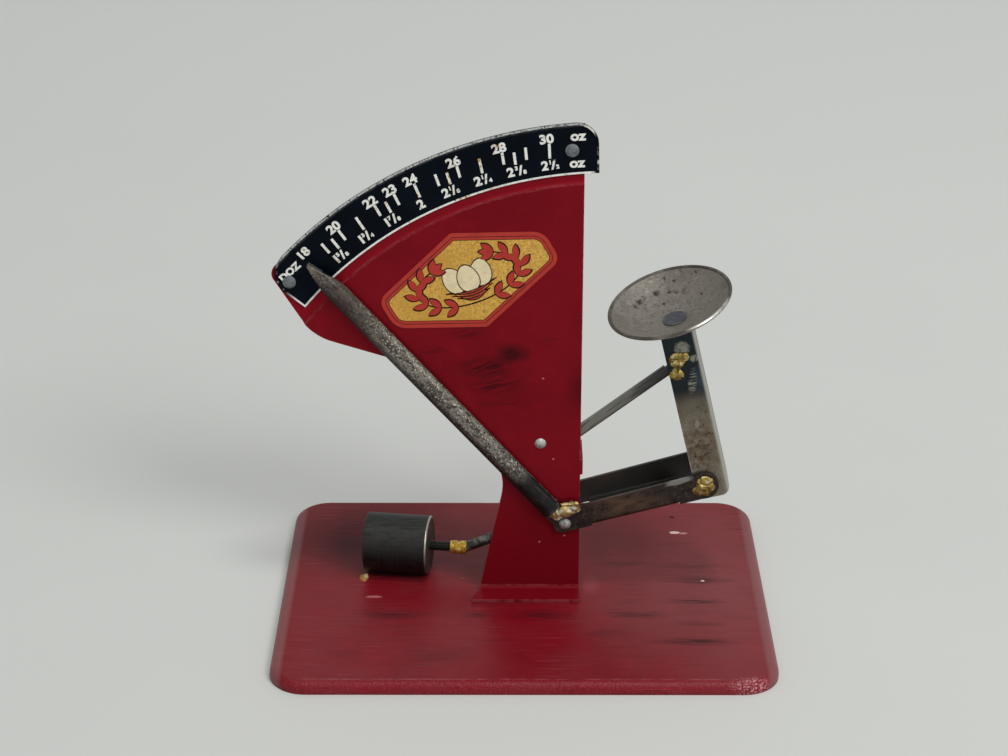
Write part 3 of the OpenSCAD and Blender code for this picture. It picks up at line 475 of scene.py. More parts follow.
def dial_figures(look):
    """All the figures and unit words of the dial, as one mesh of raised strokes"""
    pivot = sum(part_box("beam_pin"), Vector()) / 2
    centre = Vector((look.centre_x, 0, look.centre_z))
    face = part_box("dial_plate")[0].y + 0.15 * MM
    start = math.radians(131.1)
    ounce = math.radians(3.2)
    all_figures = bmesh.new()

    def on_arc(ounces, radius):
        """Where the line of a weight, from the pivot, crosses an arc about the dial's centre"""
        angle = start - (ounces - 18) * ounce
        along = Vector((math.cos(angle), 0, math.sin(angle)))
        offset = Vector((pivot.x, 0, pivot.z)) - centre
        b = offset.dot(along)
        return offset + centre + along * (-b + math.sqrt(b * b + radius ** 2 - offset.length_squared))

    def set_down(runs, spot, lean=None):
        """Sets a line of lettering on the dial, its foot towards the dial's centre"""
        direction = math.atan2(spot.z - centre.z, spot.x - centre.x)
        lean = direction - math.pi / 2 if lean is None else lean
        shape = lettering(runs, look.bold)
        place = Matrix.Translation((spot.x, face, spot.z)) @ Matrix.Rotation(-lean, 4, "Y") @ UPRIGHT
        bmesh.ops.transform(shape, verts=shape.verts, matrix=place)
        data = bpy.data.meshes.new("figure")
        shape.to_mesh(data)
        all_figures.from_mesh(data)
        bpy.data.meshes.remove(data)
        shape.free()

    for ounces in (18, 20, 22, 23, 24, 26, 28, 30):
        # The first figure stands clear of the unit word beside it
        nudge = 0.1 if ounces == 18 else -0.1
        set_down([(str(ounces), look.upper_height, 0.0, 0.0)], on_arc(ounces + nudge, look.upper_radius))
    small = look.lower_height
    # A run is wider than its whole number, so its middle lies a little beside its mark
    weights = [(19.35, fraction("1", "5", "8", small)), (20.9, fraction("1", "3", "4", small)),
               (22.4, fraction("1", "7", "8", small)), (23.9, [("2", small, 0.0, 0.0)]),
               (25.4, fraction("2", "1", "8", small)), (26.95, fraction("2", "1", "4", small)),
               (28.5, fraction("2", "3", "8", small)), (30, fraction("2", "1", "2", small))]
    for ounces, runs in weights:
        set_down(runs, on_arc(ounces, look.lower_radius))
    for word, height, x, z, lean in (("oz", 3.6, 19.1, 193.4, 3), ("oz", 3.6, 18.9, 183.2, 3),
                                     ("DOZ", 2.7, -86.4, 140.6, 43)):
        set_down([(word, height * MM, 0.0, 0.0)], Vector((x * MM, 0, z * MM)), math.radians(lean))
    data = bpy.data.meshes.new("dial_figures")
    all_figures.to_mesh(data)
    all_figures.free()
    return data


def worn_white(name, look, seed):
    """Brushed white paint on raised strokes: a little rubbed, with a few tan stains"""
    paint = Finish(name, list(look.white), 0.5, IOR=1.5, Specular_IOR_Level=0.3)
    paint.coat(paint.cloud(1.6, 0.5, 0.75, seed), "#cfd0cb")
    stain = paint.where(paint.cloud(9, 0.56, 0.66, seed + 2), paint.cloud(1.1, 0.45, 0.6, seed + 4))
    paint.coat(stain, "#b08c50", rough=0.65)
    return paint, paint.where(paint.cloud(1.1, 0.64, 0.7, seed + 6))


def dial_enamel(look):
    """Blue-black enamel with the raised rim and marks wiped white, and the outer rim worn grey"""
    paint = Finish("blue_black_dial_enamel", list(look.ground), 0.4, IOR=1.5, Specular_IOR_Level=0.05)
    paint.coat(paint.cloud(12, 0.45, 0.7, 41), "#08111b", rough=0.46)
    paint.coat(paint.specks(2.8, 0.25, 0.2, 42), "#2c3440", rough=0.6)
    paint.coat(paint.cloud(0.8, 0.3, 0.7, 43), height=0.01)
    raised = paint.beyond(1, -2.58, -2.64)
    paint.coat(raised, list(look.white), rough=0.5)
    paint.coat(paint.where(raised, paint.cloud(1.4, 0.5, 0.72, 44)), "#c4c6c5")
    stain = paint.where(raised, paint.cloud(9, 0.54, 0.64, 46), paint.cloud(1.0, 0.46, 0.58, 47))
    paint.coat(stain, "#b08c50")
    paint.coat(paint.where(raised, paint.cloud(0.8, 0.64, 0.7, 48)), list(look.ground), rough=0.5)
    ends = paint.either(paint.beyond(0, 24.2, 25.4), paint.beyond(0, -84, -88))
    paint.coat(paint.where(ends, raised, paint.cloud(2.4, 0.3, 0.5, 45)), list(look.ground), rough=0.45)
    rim = paint.ring((30.7, 34.5), 164, 1.6, 0.4)
    paint.coat(paint.where(rim, paint.cloud(3.2, 0.34, 0.52, 49)), "#5e6163", rough=0.4)
    paint.coat(paint.where(rim, raised, paint.cloud(2.6, 0.32, 0.5, 52)), "#c2c4c3", rough=0.4)
    paint.coat(paint.where(rim, paint.cloud(0.9, 0.5, 0.64, 50)), "#14181d", rough=0.5)
    return paint.done(0.12)


def dull_aluminium(name, colour, seed, dents):
    """Closed aluminium rivets: dulled by handling, with dents from the setting tool and painted shade in the
    hollows round them
    """
    metal = Finish(name, colour, 0.54, metallic=0.75)
    metal.coat(metal.cloud(1.5, 0.45, 0.65, seed), [c * 0.55 for c in linear(colour)[:3]] + [1.0],
               rough=0.58)
    metal.coat(metal.specks(1.0, 0.24, 0.5, seed + 1), "#4a4a4d", rough=0.7, height=-0.04)
    metal.coat(metal.cloud(1.8, 0.3, 0.7, seed + 2), height=dents)
    # Painted shade in the hollows round them
    metal.coat(metal.hollows(1.0), "#3c3a3a", rough=0.7)
    return metal.done(0.2)


class EGGSCALE_OT_dial(bpy.types.Operator):
    """Enamel the dial, raise its figures and finish its rivets"""
    bl_idname = "eggscale.dial"
    bl_label = "Letter the dial"

    def execute(self, context):
        look = context.scene.egg_scale_dial
        dress(dial_enamel(look), "dial_plate")
        paint, bare = worn_white("brushed_white_figures", look, 51)
        paint.coat(bare, list(look.ground), rough=0.45)
        new_piece("dial_figures", dial_figures(look), "root", "black_dial", [paint.done(0.08)])
        dress(dull_aluminium("dulled_dial_rivets", "#7c8184", 61, 0.1), "dial_rivets")
        dress(dull_aluminium("pale_closed_rivet", "#b9bbb7", 65, 0.2), "tie_rivet")
        dress(dull_aluminium("dull_pivot_pin", "#b4b2ae", 67, 0.3), "beam_pin")
        return {"FINISHED"}


def corner_arc(before, corner, after, radius, steps=6):
    """A convex corner of an outline, rounded to a radius, as points"""
    u = (before - corner).normalized()
    v = (after - corner).normalized()
    half = u.angle(v) / 2
    middle = corner + (u + v).normalized() * radius / math.sin(half)
    first = corner + u * radius / math.tan(half) - middle
    last = corner + v * radius / math.tan(half) - middle
    sweep = first.angle_signed(last)
    return [middle + Matrix.Rotation(-sweep * i / steps, 2) @ first for i in range(steps + 1)]


def inset_outline(corners, gap):
    """A convex outline of (place, radius) corners, moved in by a gap and rounded"""
    count = len(corners)
    places = []
    for i, (place, _) in enumerate(corners):
        u = (corners[i - 1][0] - place).normalized()
        v = (corners[(i + 1) % count][0] - place).normalized()
        places.append(place + (u + v).normalized() * gap / math.sin(u.angle(v) / 2))
    outline = []
    for i, (_, radius) in enumerate(corners):
        outline += corner_arc(places[i - 1], places[i], places[(i + 1) % count],
                              max(radius - gap, 0.3))
    return outline


def thin_plate(shape, outline, back, front, material):
    """Adds a flat closed outline, in millimetres, as a thin solid between two heights"""
    rings = [[shape.verts.new((p.x, p.y, h)) for p in outline] for h in (back, front)]
    faces = [shape.faces.new(reversed(rings[0])), shape.faces.new(rings[1])]
    count = len(outline)
    for i in range(count):
        j = (i + 1) % count
        faces.append(shape.faces.new((rings[0][i], rings[0][j], rings[1][j], rings[1][i])))
    for face in faces:
        face.material_index = material


def egg_outline(centre, height, lean, steps=28):
    """An egg, blunt end down: an oval whose width swells towards its foot"""
    points = []
    for i in range(steps):
        t = 2 * math.pi * i / steps
        wide = 0.37 * height * math.cos(t) * (1 - 0.16 * math.sin(t))
        points.append(Vector((wide, height / 2 * math.sin(t))))
    turn = Matrix.Rotation(math.radians(lean), 2)
    return [centre + turn @ p for p in points]


def grain_outline(foot, direction, length, width, steps=7):
    """A grain of wheat: a pointed oval that starts at its foot"""
    axis = Vector((math.cos(direction), math.sin(direction)))
    side = Vector((-axis.y, axis.x))
    rise = [(i / steps, math.sin(math.pi * i / steps) ** 0.8) for i in range(steps + 1)]
    left = [foot + axis * length * s + side * width / 2 * w for s, w in rise]
    right = [foot + axis * length * s - side * width / 2 * w for s, w in reversed(rise[1:-1])]
    return list(reversed(left + right))


def stroke_outline(points, width):
    """A line of even width through points"""
    left, right = [], []
    for i, point in enumerate(points):
        along = points[min(i + 1, len(points) - 1)] - points[max(i - 1, 0)]
        side = Vector((-along.y, along.x)).normalized() * width / 2
        left.append(point + side)
        right.append(point - side)
    return right + list(reversed(left))


def badge_mesh():
    """The badge: a thin plate with double bands, a wreath of wheat and three eggs on a nest"""
    low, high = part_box("badge_plate")
    thick = (high.y - low.y) / MM
    print_depth = 0.02
    face = thick - 4 * print_depth
    half = [(Vector((-33.7, -8.2)), 5.0), (Vector((-27.4, -19.4)), 7.0), (Vector((6.7, -18.7)), 1.5)]
    corners = half + [(-place, radius) for place, radius in half]
    # Each band's inner edge, in millimetres from the badge's edge, and its material
    bands = [(1.5, 1), (1.75, 2), (2.7, 1), (2.95, 2)]
    shape = bmesh.new()
    rings = [[shape.verts.new((p.x, p.y, 0)) for p in inset_outline(corners, 0)]]
    rings += [[shape.verts.new((p.x, p.y, face)) for p in inset_outline(corners, gap)]
              for gap in [0] + [gap for gap, _ in bands]]
    shape.faces.new(reversed(rings[0])).material_index = 1
    for inner, (outer_ring, inner_ring) in enumerate(zip(rings, rings[1:])):
        for i in range(len(outer_ring)):
            j = (i + 1) % len(outer_ring)
            side = shape.faces.new((outer_ring[i], outer_ring[j], inner_ring[j], inner_ring[i]))
            side.material_index = 1 if inner == 0 else bands[inner - 1][1]
    shape.faces.new(rings[-1]).material_index = 0
    slope = Matrix.Rotation(math.radians(20), 2)

    def drawn(outline, material, level):
        """Prints an outline in the badge's leaning frame, on one of four levels"""
        thin_plate(shape, [slope @ p for p in outline], face - 0.1, face + level * print_depth, material)

    for side in (-1, 1):
        path = []
        for i in range(25):
            t = math.radians(-96 + 160 * i / 24)
            path.append(Vector((side * 20.0 * math.cos(t), 9.4 * math.sin(t) + 0.2)))
        stem = stroke_outline(path, 0.6)
        drawn(stem if side > 0 else list(reversed(stem)), 2, 1)
        for i in range(4, 24, 3):
            along = path[min(i + 1, 24)] - path[i - 1]
            heading = math.atan2(along.y, along.x)
            spreads = (0.62, -0.62) if i < 21 else (0.6, -0.6, 0.0)
            for turn, spread in enumerate(spreads):
                # Grains that cross lie on levels of their own
                lift = 0.04 * i + 0.15 * turn
                drawn(grain_outline(path[i], heading + spread, 6.4, 3.1), 2, 1.5 + lift)
                drawn(grain_outline(path[i] + along.normalized() * 0.35, heading + spread, 5.5, 2.4),
                      1, 2 + lift)
    # Middle, lean and level of each egg: the outer two lie behind the middle one
    for x, y, lean, level in ((-5.2, 1.8, 16, 2), (5.2, 1.8, -16, 2), (0, 1.0, 0, 3)):
        drawn(egg_outline(Vector((x, y)), 11.6, lean), 2, level)
        drawn(egg_outline(Vector((x, y)), 10.6, lean), 3, level + 0.5)
    for i in range(9):
        sag = 0.5 * (i % 3)
        reach = 10.0 - 0.6 * i
        straw = [Vector((reach * s, -4.0 - 0.5 * i + (1.7 + sag) * s * s)) for s in
                 [k / 6 - 1 for k in range(13)]]
        drawn(stroke_outline(straw, 0.42), 2 if i % 2 == 0 else 1, 4)
    bmesh.ops.recalc_face_normals(shape, faces=shape.faces)
    middle = (low + high) / 2
    place = (Matrix.Translation((middle.x, high.y, middle.z)) @ UPRIGHT @ Matrix.Scale(MM, 4))
    bmesh.ops.transform(shape, verts=shape.verts, matrix=place)
    data = bpy.data.meshes.new("badge_print")
    shape.to_mesh(data)
    shape.free()
    return data


def printed_ink(name, colour, seed, rough=0.42):
    """Lithographed ink under old varnish: even, faintly crazed and worn at the rim"""
    ink = Finish(name, list(colour), rough, IOR=1.5, Specular_IOR_Level=0.15)
    ink.coat(ink.cloud(3.2, 0.45, 0.75, seed), [c * 0.8 for c in colour[:3]] + [1.0])
    ink.coat(ink.cloud(0.7, 0.6, 0.72, seed + 2), [min(1, c * 1.3) for c in colour[:3]] + [1.0])
    ink.coat(ink.cloud(0.5, 0.3, 0.7, seed + 3), height=0.006)
    return ink


def mottled_gold(look):
    """Gold lithographed field: bronze ink that has browned in fine mottles"""
    ink = Finish("mottled_gold_print", list(look.gold), 0.45, metallic=0.15, IOR=1.5,
                 Specular_IOR_Level=0.2)
    ink.coat(ink.cloud(1.1, 0.44, 0.64, 71), "#b88a3c")
    ink.coat(ink.cloud(0.6, 0.52, 0.68, 72), "#edc873")
    ink.coat(ink.cloud(13, 0.5, 0.72, 73), "#cc9a42", rough=0.5)
    ink.coat(ink.cloud((5, 1, 0.5), 0.64, 0.72, 74, place=ink.turned(32)), "#a8762c")
    ink.coat(ink.cloud(0.5, 0.3, 0.7, 75), height=0.006)
    return ink.done(0.05)


class EGGSCALE_OT_badge(bpy.types.Operator):
    """Print the badge: bands, wheat wreath, nest and eggs"""
    bl_idname = "eggscale.badge"
    bl_label = "Print the badge"

    def execute(self, context):
        look = context.scene.egg_scale_badge
        inks = [mottled_gold(look), printed_ink("red_orange_print", look.red, 76).done(0.05),
                printed_ink("dark_line_print", look.line, 77).done(0.05),
                printed_ink("eggshell_print", look.egg, 78).done(0.05)]
        new_piece("badge_print", badge_mesh(), "root", "printed_badge", inks, "badge_plate")
        return {"FINISHED"}


def blued_arm():
    """Hot-blued mild steel, handled for years: near-black ends, a brown rubbed middle, a pale top edge"""
    metal = Finish("blued_steel_arm", "#2f2724", 0.42, metallic=0.6)
    along = metal.turned(17.3)
    metal.coat(metal.patch((40, -5, 44), (18, 6, 9), soft=0.9, ragged=0.6), "#604a3a", rough=0.48)
    metal.coat(metal.cloud((9, 5, 3), 0.45, 0.68, 81, place=along), "#1a1616", rough=0.36)
    metal.coat(metal.cloud(1.5, 0.5, 0.72, 82), "#4f4137", rough=0.55)
    metal.coat(metal.specks(1.3, 0.22, 0.35, 83), "#80684e", rough=0.7, height=-0.02)
    rear = metal.beyond(1, 6, 10)
    metal.coat(rear, "#393735", rough=0.5, metallic=0.2)
    smoked = metal.where(rear, metal.patch((30, 19, 48), (14, 6, 12), soft=0.8, ragged=0.6, seed=5))
    metal.coat(smoked, "#694c45", rough=0.5)
    metal.coat(metal.patch((72.9, -5, 33.9), (6.2, 2, 1.5), soft=0.4, ragged=0.9, seed=3, place=along),
               "#858680", rough=0.4, metallic=0.6)
    metal.coat(metal.where(metal.edges(0.3), metal.cloud(3, 0.4, 0.6, 84)), "#6a5e53", rough=0.55)
    metal.coat(metal.cloud(0.8, 0.3, 0.7, 85), height=0.03)
    return metal.done(0.15)


def scaled_pointer():
    """Hot-rolled steel with its mill scale half rubbed off: dark mottles, grey metal along the crest and
    painted shade underneath
    """
    metal = Finish("mill_scaled_pointer", "#554d47", 0.44, metallic=0.7)
    along = metal.turned(131.1)
    metal.coat(metal.cloud((14, 4, 3), 0.36, 0.56, 91, place=along), "#857f75", rough=0.42)
    metal.coat(metal.cloud((2.2, 1.1, 0.9), 0.5, 0.62, 92, place=along), "#3d3431", rough=0.55)
    metal.coat(metal.cloud(0.7, 0.56, 0.64, 93), "#bdb7ac", rough=0.4)
    metal.coat(metal.specks(1.1, 0.4, 0.7, 94), "#261f1d", rough=0.7, height=-0.05)
    metal.coat(metal.patch((-68, -6, 129), (22, 8, 24), soft=0.9, ragged=0.4), "#40322f", rough=0.55)
    metal.coat(metal.patch((5, -6, 48), (15, 8, 16), soft=0.5, ragged=0.6), "#1d1b1b", rough=0.38)
    streak = metal.where(metal.patch((3, -6, 50), (13, 8, 13), soft=0.8),
                         metal.cloud((5, 1.0, 0.7), 0.56, 0.74, 97, place=along))
    metal.coat(streak, "#4d423c", rough=0.45)
    # Painted shade on the faces that turn down and to the left
    under = metal.facing((-0.75, 0, -0.66), 0.1, 0.7)
    metal.coat(under, "#2a2422", rough=0.5)
    metal.coat(metal.where(metal.edges(0.4), metal.cloud(4, 0.44, 0.6, 95)), "#b3aea4", rough=0.34)
    metal.coat(metal.cloud(1.1, 0.3, 0.7, 96), height=0.06)
    return metal.done(0.15)


def heat_tinted_post():
    """Cold-rolled steel: warm grey with brown pits, blued and blackened round the upper braze, a painted
    highlight on its right side and edges and painted shade in its corners
    """
    metal = Finish("heat_tinted_steel_post", "#8a8376", 0.44, metallic=0.8)
    along = metal.turned(103.4)
    metal.coat(metal.cloud(6, 0.42, 0.64, 101), "#746b5d", rough=0.5)
    metal.coat(metal.cloud((5, 2, 1.6), 0.56, 0.72, 102, place=along), "#9d978b", rough=0.4)
    metal.coat(metal.cloud(0.8, 0.55, 0.7, 108), "#5f574b", rough=0.55)
    metal.coat(metal.specks(1.5, 0.5, 0.6, 103), "#4b3d2e", rough=0.7, height=-0.03)
    stain = metal.patch((66, -3, 67), (11, 5, 21), soft=0.9, ragged=0.8, seed=2)
    metal.coat(metal.where(stain, metal.cloud(2.2, 0.36, 0.62, 115)), "#5b4836", rough=0.6)
    metal.coat(metal.where(stain, metal.specks(1.2, 0.6, 0.9, 109)), "#33281e", rough=0.75)
    metal.coat(metal.beyond(0, 60, 76, place=along), "#4a4235", rough=0.42)
    blue = metal.where(metal.beyond(0, 71, 76, place=along), metal.cloud(9, 0.2, 0.4, 104))
    metal.coat(blue, "#20272c", rough=0.34)
    sky = metal.patch((66.5, -3, 97), (4.5, 6, 8), soft=0.9, ragged=0.6, seed=4)
    metal.coat(sky, "#36424a", rough=0.34)
    flux = metal.either(metal.patch((58.6, -4, 109.6), (3.4, 3, 3.2), soft=0.3, ragged=0.9, seed=6),
                        metal.patch((63.6, -4, 105.6), (2.4, 3, 1.8), soft=0.3, ragged=0.9, seed=8))
    metal.coat(metal.where(flux, metal.cloud((1.2, 3, 2.4), 0.3, 0.5, 110)), "#84857a", rough=0.6,
               metallic=0.3, height=0.04)
    ticks = metal.where(metal.patch((63.4, -4, 95.6), (2.1, 2, 7), soft=0.3, ragged=0.4),
                        metal.cloud((0.55, 3, 5), 0.5, 0.58, 105, place=along))
    metal.coat(ticks, "#8b897d", rough=0.4, height=-0.01)
    # Painted highlight: the side that faces right is paler and glossier
    right = metal.where(metal.facing((0.973, 0, 0.232), 0.3, 0.7), metal.beyond(1, 0.5, -2.0))
    metal.coat(right, "#b3b1a9", rough=0.36)
    # Bright edges on the right part: rubbed metal, and a painted highlight
    metal.coat(metal.where(metal.edges(0.7), metal.beyond(0, 60, 64), metal.cloud(4, 0.25, 0.45, 106)),
               "#c6c3bb", rough=0.3)
    # Painted shade in the post's corners and crevices
    metal.coat(metal.hollows(6, 0.35, 0.95), "#2b2723", rough=0.6)
    metal.coat(metal.cloud(0.9, 0.3, 0.7, 107), height=0.03)
    return metal.done(0.15)


def grey_stay():
    """Drawn steel strip: satin grey, darker towards the post, with bright edges along the upper flange:
    partly rubbed metal, partly a painted highlight
    """
    metal = Finish("satin_steel_stay", "#72716c", 0.4, metallic=0.85)
    along = metal.turned(38.3)
    metal.coat(metal.cloud((10, 1, 0.8), 0.46, 0.62, 111, place=along), "#53514d", rough=0.45)
    metal.coat(metal.specks(1.4, 0.25, 0.35, 112), "#3d352d", rough=0.65)
    metal.coat(metal.beyond(0, 46, 30), "#807e77", rough=0.38)
    metal.coat(metal.beyond(0, 40, 51), "#353536", rough=0.4)
    metal.coat(metal.cloud((14, 0.7, 0.5), 0.52, 0.62, 116, place=along), "#4a4844", rough=0.45)
    # Pale edges: rubbed metal, and a painted highlight along the upper flange
    metal.coat(metal.where(metal.edges(0.3), metal.cloud(3, 0.4, 0.6, 113)), "#a5a49e", rough=0.3)
    metal.coat(metal.cloud(0.7, 0.3, 0.7, 114), height=0.02)
    return metal.done(0.1)


def oiled_pins():
    """Turned steel pins and washers, oiled and a little dirty, with painted shade in their hollows"""
    metal = Finish("oiled_steel_pins", "#85807a", 0.36, metallic=0.95)
    metal.coat(metal.cloud(1.4, 0.45, 0.68, 121), "#55504a", rough=0.5)
    metal.coat(metal.specks(1.2, 0.2, 0.4, 122), "#3d3026", rough=0.7, height=-0.02)
    # Painted shade in the hollows
    metal.coat(metal.hollows(1.2), "#26211e", rough=0.7)
    metal.coat(metal.cloud(0.6, 0.3, 0.7, 123), height=0.02)
    return metal.done(0.12)


class EGGSCALE_OT_levers(bpy.types.Operator):
    """Finish the arm, the pointer, the post, the stay and their pins"""
    bl_idname = "eggscale.levers"
    bl_label = "Age the levers"

    def execute(self, context):
        dress(blued_arm(), "beam_arm")
        dress(scaled_pointer(), "pointer")
        dress(heat_tinted_post(), "post")
        dress(grey_stay(), "stay_link")
        dress(oiled_pins(), "arm_pin", "link_pin", "anchor_pin", "anchor_sleeve", "tie_spacer",
              "pivot_washers", "weight_hub")
        return {"FINISHED"}


def worn_dish():
    """Tinned pressed steel: a warm grey skin with rust pits where eggs sat, painted shade along the rim and a
    painted highlight on its front right edge
    """
    metal = Finish("worn_tinned_dish", "#827c74", 0.62, metallic=0.5)
    metal.coat(metal.cloud(13, 0.42, 0.66, 131), "#716b63", rough=0.6)
    metal.coat(metal.cloud(3, 0.45, 0.7, 132), "#88827a", rough=0.54)
    metal.coat(metal.cloud(0.9, 0.54, 0.7, 140), "#5f5850", rough=0.62)
    metal.coat(metal.patch((35, -6, 121), (9, 18, 8), soft=0.9, ragged=0.5, full=0.6), "#6f6153", rough=0.6)
    pitted = metal.patch((52, 15, 122), (19, 15, 16), soft=0.8, ragged=0.5)
    metal.coat(metal.where(pitted, metal.cloud(1.6, 0.54, 0.72, 134)), "#625648", rough=0.65)
    # Place and reach of each pit that eggs and damp left
    pits = [((50.2, 20.5, 121.9), 1.5), ((43.8, 16.9, 119.5), 1.4), ((42.3, 14.7, 119), 1.1),
            ((45.6, 19.2, 120.3), 1.0), ((60.4, 18.1, 123.9), 1.2), ((57.6, 18.7, 123.1), 0.9),
            ((65, 21.8, 130), 0.9), ((66.7, 12.7, 125.2), 0.8), ((55.1, 19.8, 122.6), 1.0),
            ((53.1, 15.4, 119.6), 0.8), ((57.1, 23.4, 125.7), 0.9), ((53.5, 24.7, 126), 0.7)]
    for i, (spot, reach) in enumerate(pits):
        pit = metal.patch(spot, (reach * 1.1, reach * 1.5, reach * 1.1), soft=0.7, ragged=1.8, seed=i * 3.7)
        metal.coat(pit, "#40332a", rough=0.75)
    metal.coat(metal.where(pitted, metal.specks(1.8, 0.7, 0.7, 133)), "#463a31", rough=0.75)
    metal.coat(metal.specks(1.6, 0.5, 0.4, 135), "#4a3d34", rough=0.6, height=-0.02)
    metal.coat(metal.cloud((4, 0.8, 3), 0.6, 0.72, 136), "#97918a", rough=0.5)
    level = metal.reach_along((-0.290, -0.129, 0.948))
    rim = metal.near(level, 102.8, 0.6, 0.3)
    # Painted shade: a dark broken line along the rim
    metal.coat(metal.where(rim, metal.cloud(7, 0.3, 0.5, 145)), "#4f4840", rough=0.5)
    # Painted highlight: a bright line on the rim's front right
    front_highlight = metal.patch((71, -15, 128), (17, 13, 7), soft=0.6)
    metal.coat(metal.where(rim, front_highlight, metal.cloud(5, 0.3, 0.45, 137)), "#d6d2c8", rough=0.3, metallic=1.0)
    metal.coat(metal.cloud(5, 0.3, 0.7, 138), height=0.14)
    metal.coat(metal.cloud(0.8, 0.3, 0.7, 139), height=0.02)
    return metal.done(0.12)


def rubbed_rivet_head():
    """A flush rivet in the dish: smoother and darker than the tin round it"""
    metal = Finish("rubbed_rivet_head", "#54545a", 0.34, metallic=0.9)
    metal.coat(metal.cloud(3, 0.42, 0.66, 141), "#6b6a6c", rough=0.42)
    metal.coat(metal.specks(1.5, 0.3, 0.3, 142), "#3a3330", rough=0.6, height=-0.02)
    metal.coat(metal.cloud(0.8, 0.3, 0.7, 143), height=0.015)
    return metal.done(0.12)


class EGGSCALE_OT_dish(bpy.types.Operator):
    """Finish the egg dish and the rivet that holds it"""
    bl_idname = "eggscale.dish"
    bl_label = "Wear the dish"

    def execute(self, context):
        dress(worn_dish(), "dish")
        dress(rubbed_rivet_head(), "dish_rivet")
        return {"FINISHED"}


def lumpy_copy(node, grain, depth, voxel, melt):
    """A remeshed copy of a CAD node, melted together and drawn into facets with creases between them"""
    source = frame["nodes"][node]
    holder = bpy.data.objects.new("lump", source.data.copy())
    bpy.context.scene.collection.objects.link(holder)
    remesh = holder.modifiers.new("skin", "REMESH")
    remesh.mode = "VOXEL"
    remesh.voxel_size = voxel * MM
    smooth = holder.modifiers.new("smooth", "SMOOTH")
    smooth.factor = 0.8
    smooth.iterations = melt
    skin = holder.evaluated_get(bpy.context.evaluated_depsgraph_get())
    data = bpy.data.meshes.new_from_object(skin)
    bpy.data.objects.remove(holder)
    low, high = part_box(node)
    for vertex, normal in zip(data.vertices, [v.normal.copy() for v in data.vertices]):
        spot = vertex.co / (grain * MM)
        near, seeds = noise.voronoi(spot)
        crease = min((near[1] - near[0]) / 0.22, 1.0)
        swell = noise.noise(spot * 0.7)
        tilt = (spot - seeds[0]).dot(noise.noise_vector(seeds[0] * 3.7).normalized())
        moved = vertex.co + normal * depth * MM * (crease - 0.9 + 0.8 * swell + 1.8 * tilt)
        vertex.co = [min(max(moved[i], low[i]), high[i]) for i in range(3)]
    data.materials.clear()
    data.shade_smooth()
    return data


def brass_braze(name, colour, glint, flux, seed):
    """Brass run on with a torch: gold facets, oxide brown in the creases, grey flux on top"""
    metal = Finish(name, colour, 0.42, metallic=0.8)
    metal.coat(metal.cloud(2.6, 0.42, 0.62, seed), [c * 0.55 for c in linear(colour)[:3]] + [1.0],
               rough=0.5)
    metal.coat(metal.cloud(2.1, 0.52, 0.68, seed + 1), glint, rough=0.38)
    fluxed = metal.cloud(2.9, 0.66 - flux, 0.72 - flux, seed + 2)
    metal.coat(fluxed, "#c8c6b8", rough=0.45, metallic=0.6)
    metal.coat(metal.specks(1.1, 0.22, 0.4, seed + 3), "#4a3520", rough=0.7, height=-0.05)
    metal.coat(metal.hollows(1.3, 0.3, 0.8), "#4d3820", rough=0.65)
    metal.coat(metal.cloud(0.5, 0.3, 0.7, seed + 4), height=0.05)
    return metal.done(0.1)


class EGGSCALE_OT_braze(bpy.types.Operator):
    """Run lumps of brass over the three joints and the weight bar's sleeve"""
    bl_idname = "eggscale.braze"
    bl_label = "Braze the joints"

    def execute(self, context):
        pale = brass_braze("pale_fluxed_brass", "#b59d66", "#e6d9b0", 0.1, 151)
        gold = brass_braze("torch_run_brass", "#9f8848", "#dccb90", 0.04, 155)
        bright = brass_braze("bright_brass_sleeve", "#c29a35", "#f3dc8a", 0.0, 159)
        for node, body, grain, depth, melt, metal in (("beam_braze", "beam", 5.4, 0.5, 90, pale),
                                                      ("arm_braze", "beam", 5.2, 0.5, 70, gold),
                                                      ("post_braze", "dish_post", 4.4, 0.5, 32, gold),
                                                      ("bar_braze", "beam", 4.0, 0.16, 26, bright)):
            data = lumpy_copy(node, grain, depth, 0.16, melt)
            new_piece(node + "_run", data, body, "braze_brass", [metal], node)
        return {"FINISHED"}


def blackened_weight():
    """Blackened turned iron: near-black, paler on top as painted light, brown end face, a grey rim with a
    painted highlight on its upper part
    """
    metal = Finish("blackened_turned_weight", "#110f0f", 0.5, metallic=0.3, Specular_IOR_Level=0.3)
    # Painted light: the top is paler, where the light falls
    metal.coat(metal.facing((0, 0, 1), -0.1, 0.85), "#343331", rough=0.55)
    metal.coat(metal.cloud((7, 1.4, 1.4), 0.46, 0.66, 161), "#1d1b1b", rough=0.55)
    metal.coat(metal.cloud((0.8, 9, 9), 0.54, 0.74, 162), "#2b2928", rough=0.48)
    metal.coat(metal.specks(1.9, 0.3, 0.4, 163), "#716960", rough=0.5)
    end = metal.facing((1, 0, 0), 0.6, 0.9)
    metal.coat(end, "#2e241e", rough=0.5, metallic=0.6)
    metal.coat(metal.where(end, metal.cloud(3, 0.5, 0.66, 166)), "#544638", rough=0.55)
    inward = (math.cos(math.radians(7.5)), -math.sin(math.radians(7.5)), 0)
    rim = metal.near(metal.reach_along(inward), -38.6, 0.42, 0.25)
    metal.coat(rim, "#4a443e", rough=0.4)
    # Painted highlight on the upper part of the rim
    metal.coat(metal.where(rim, metal.beyond(2, 13, 21)), "#a8a297", rough=0.38, metallic=0.9)
    metal.coat(metal.cloud(1.0, 0.3, 0.7, 165), height=0.03)
    return metal.done(0.2)


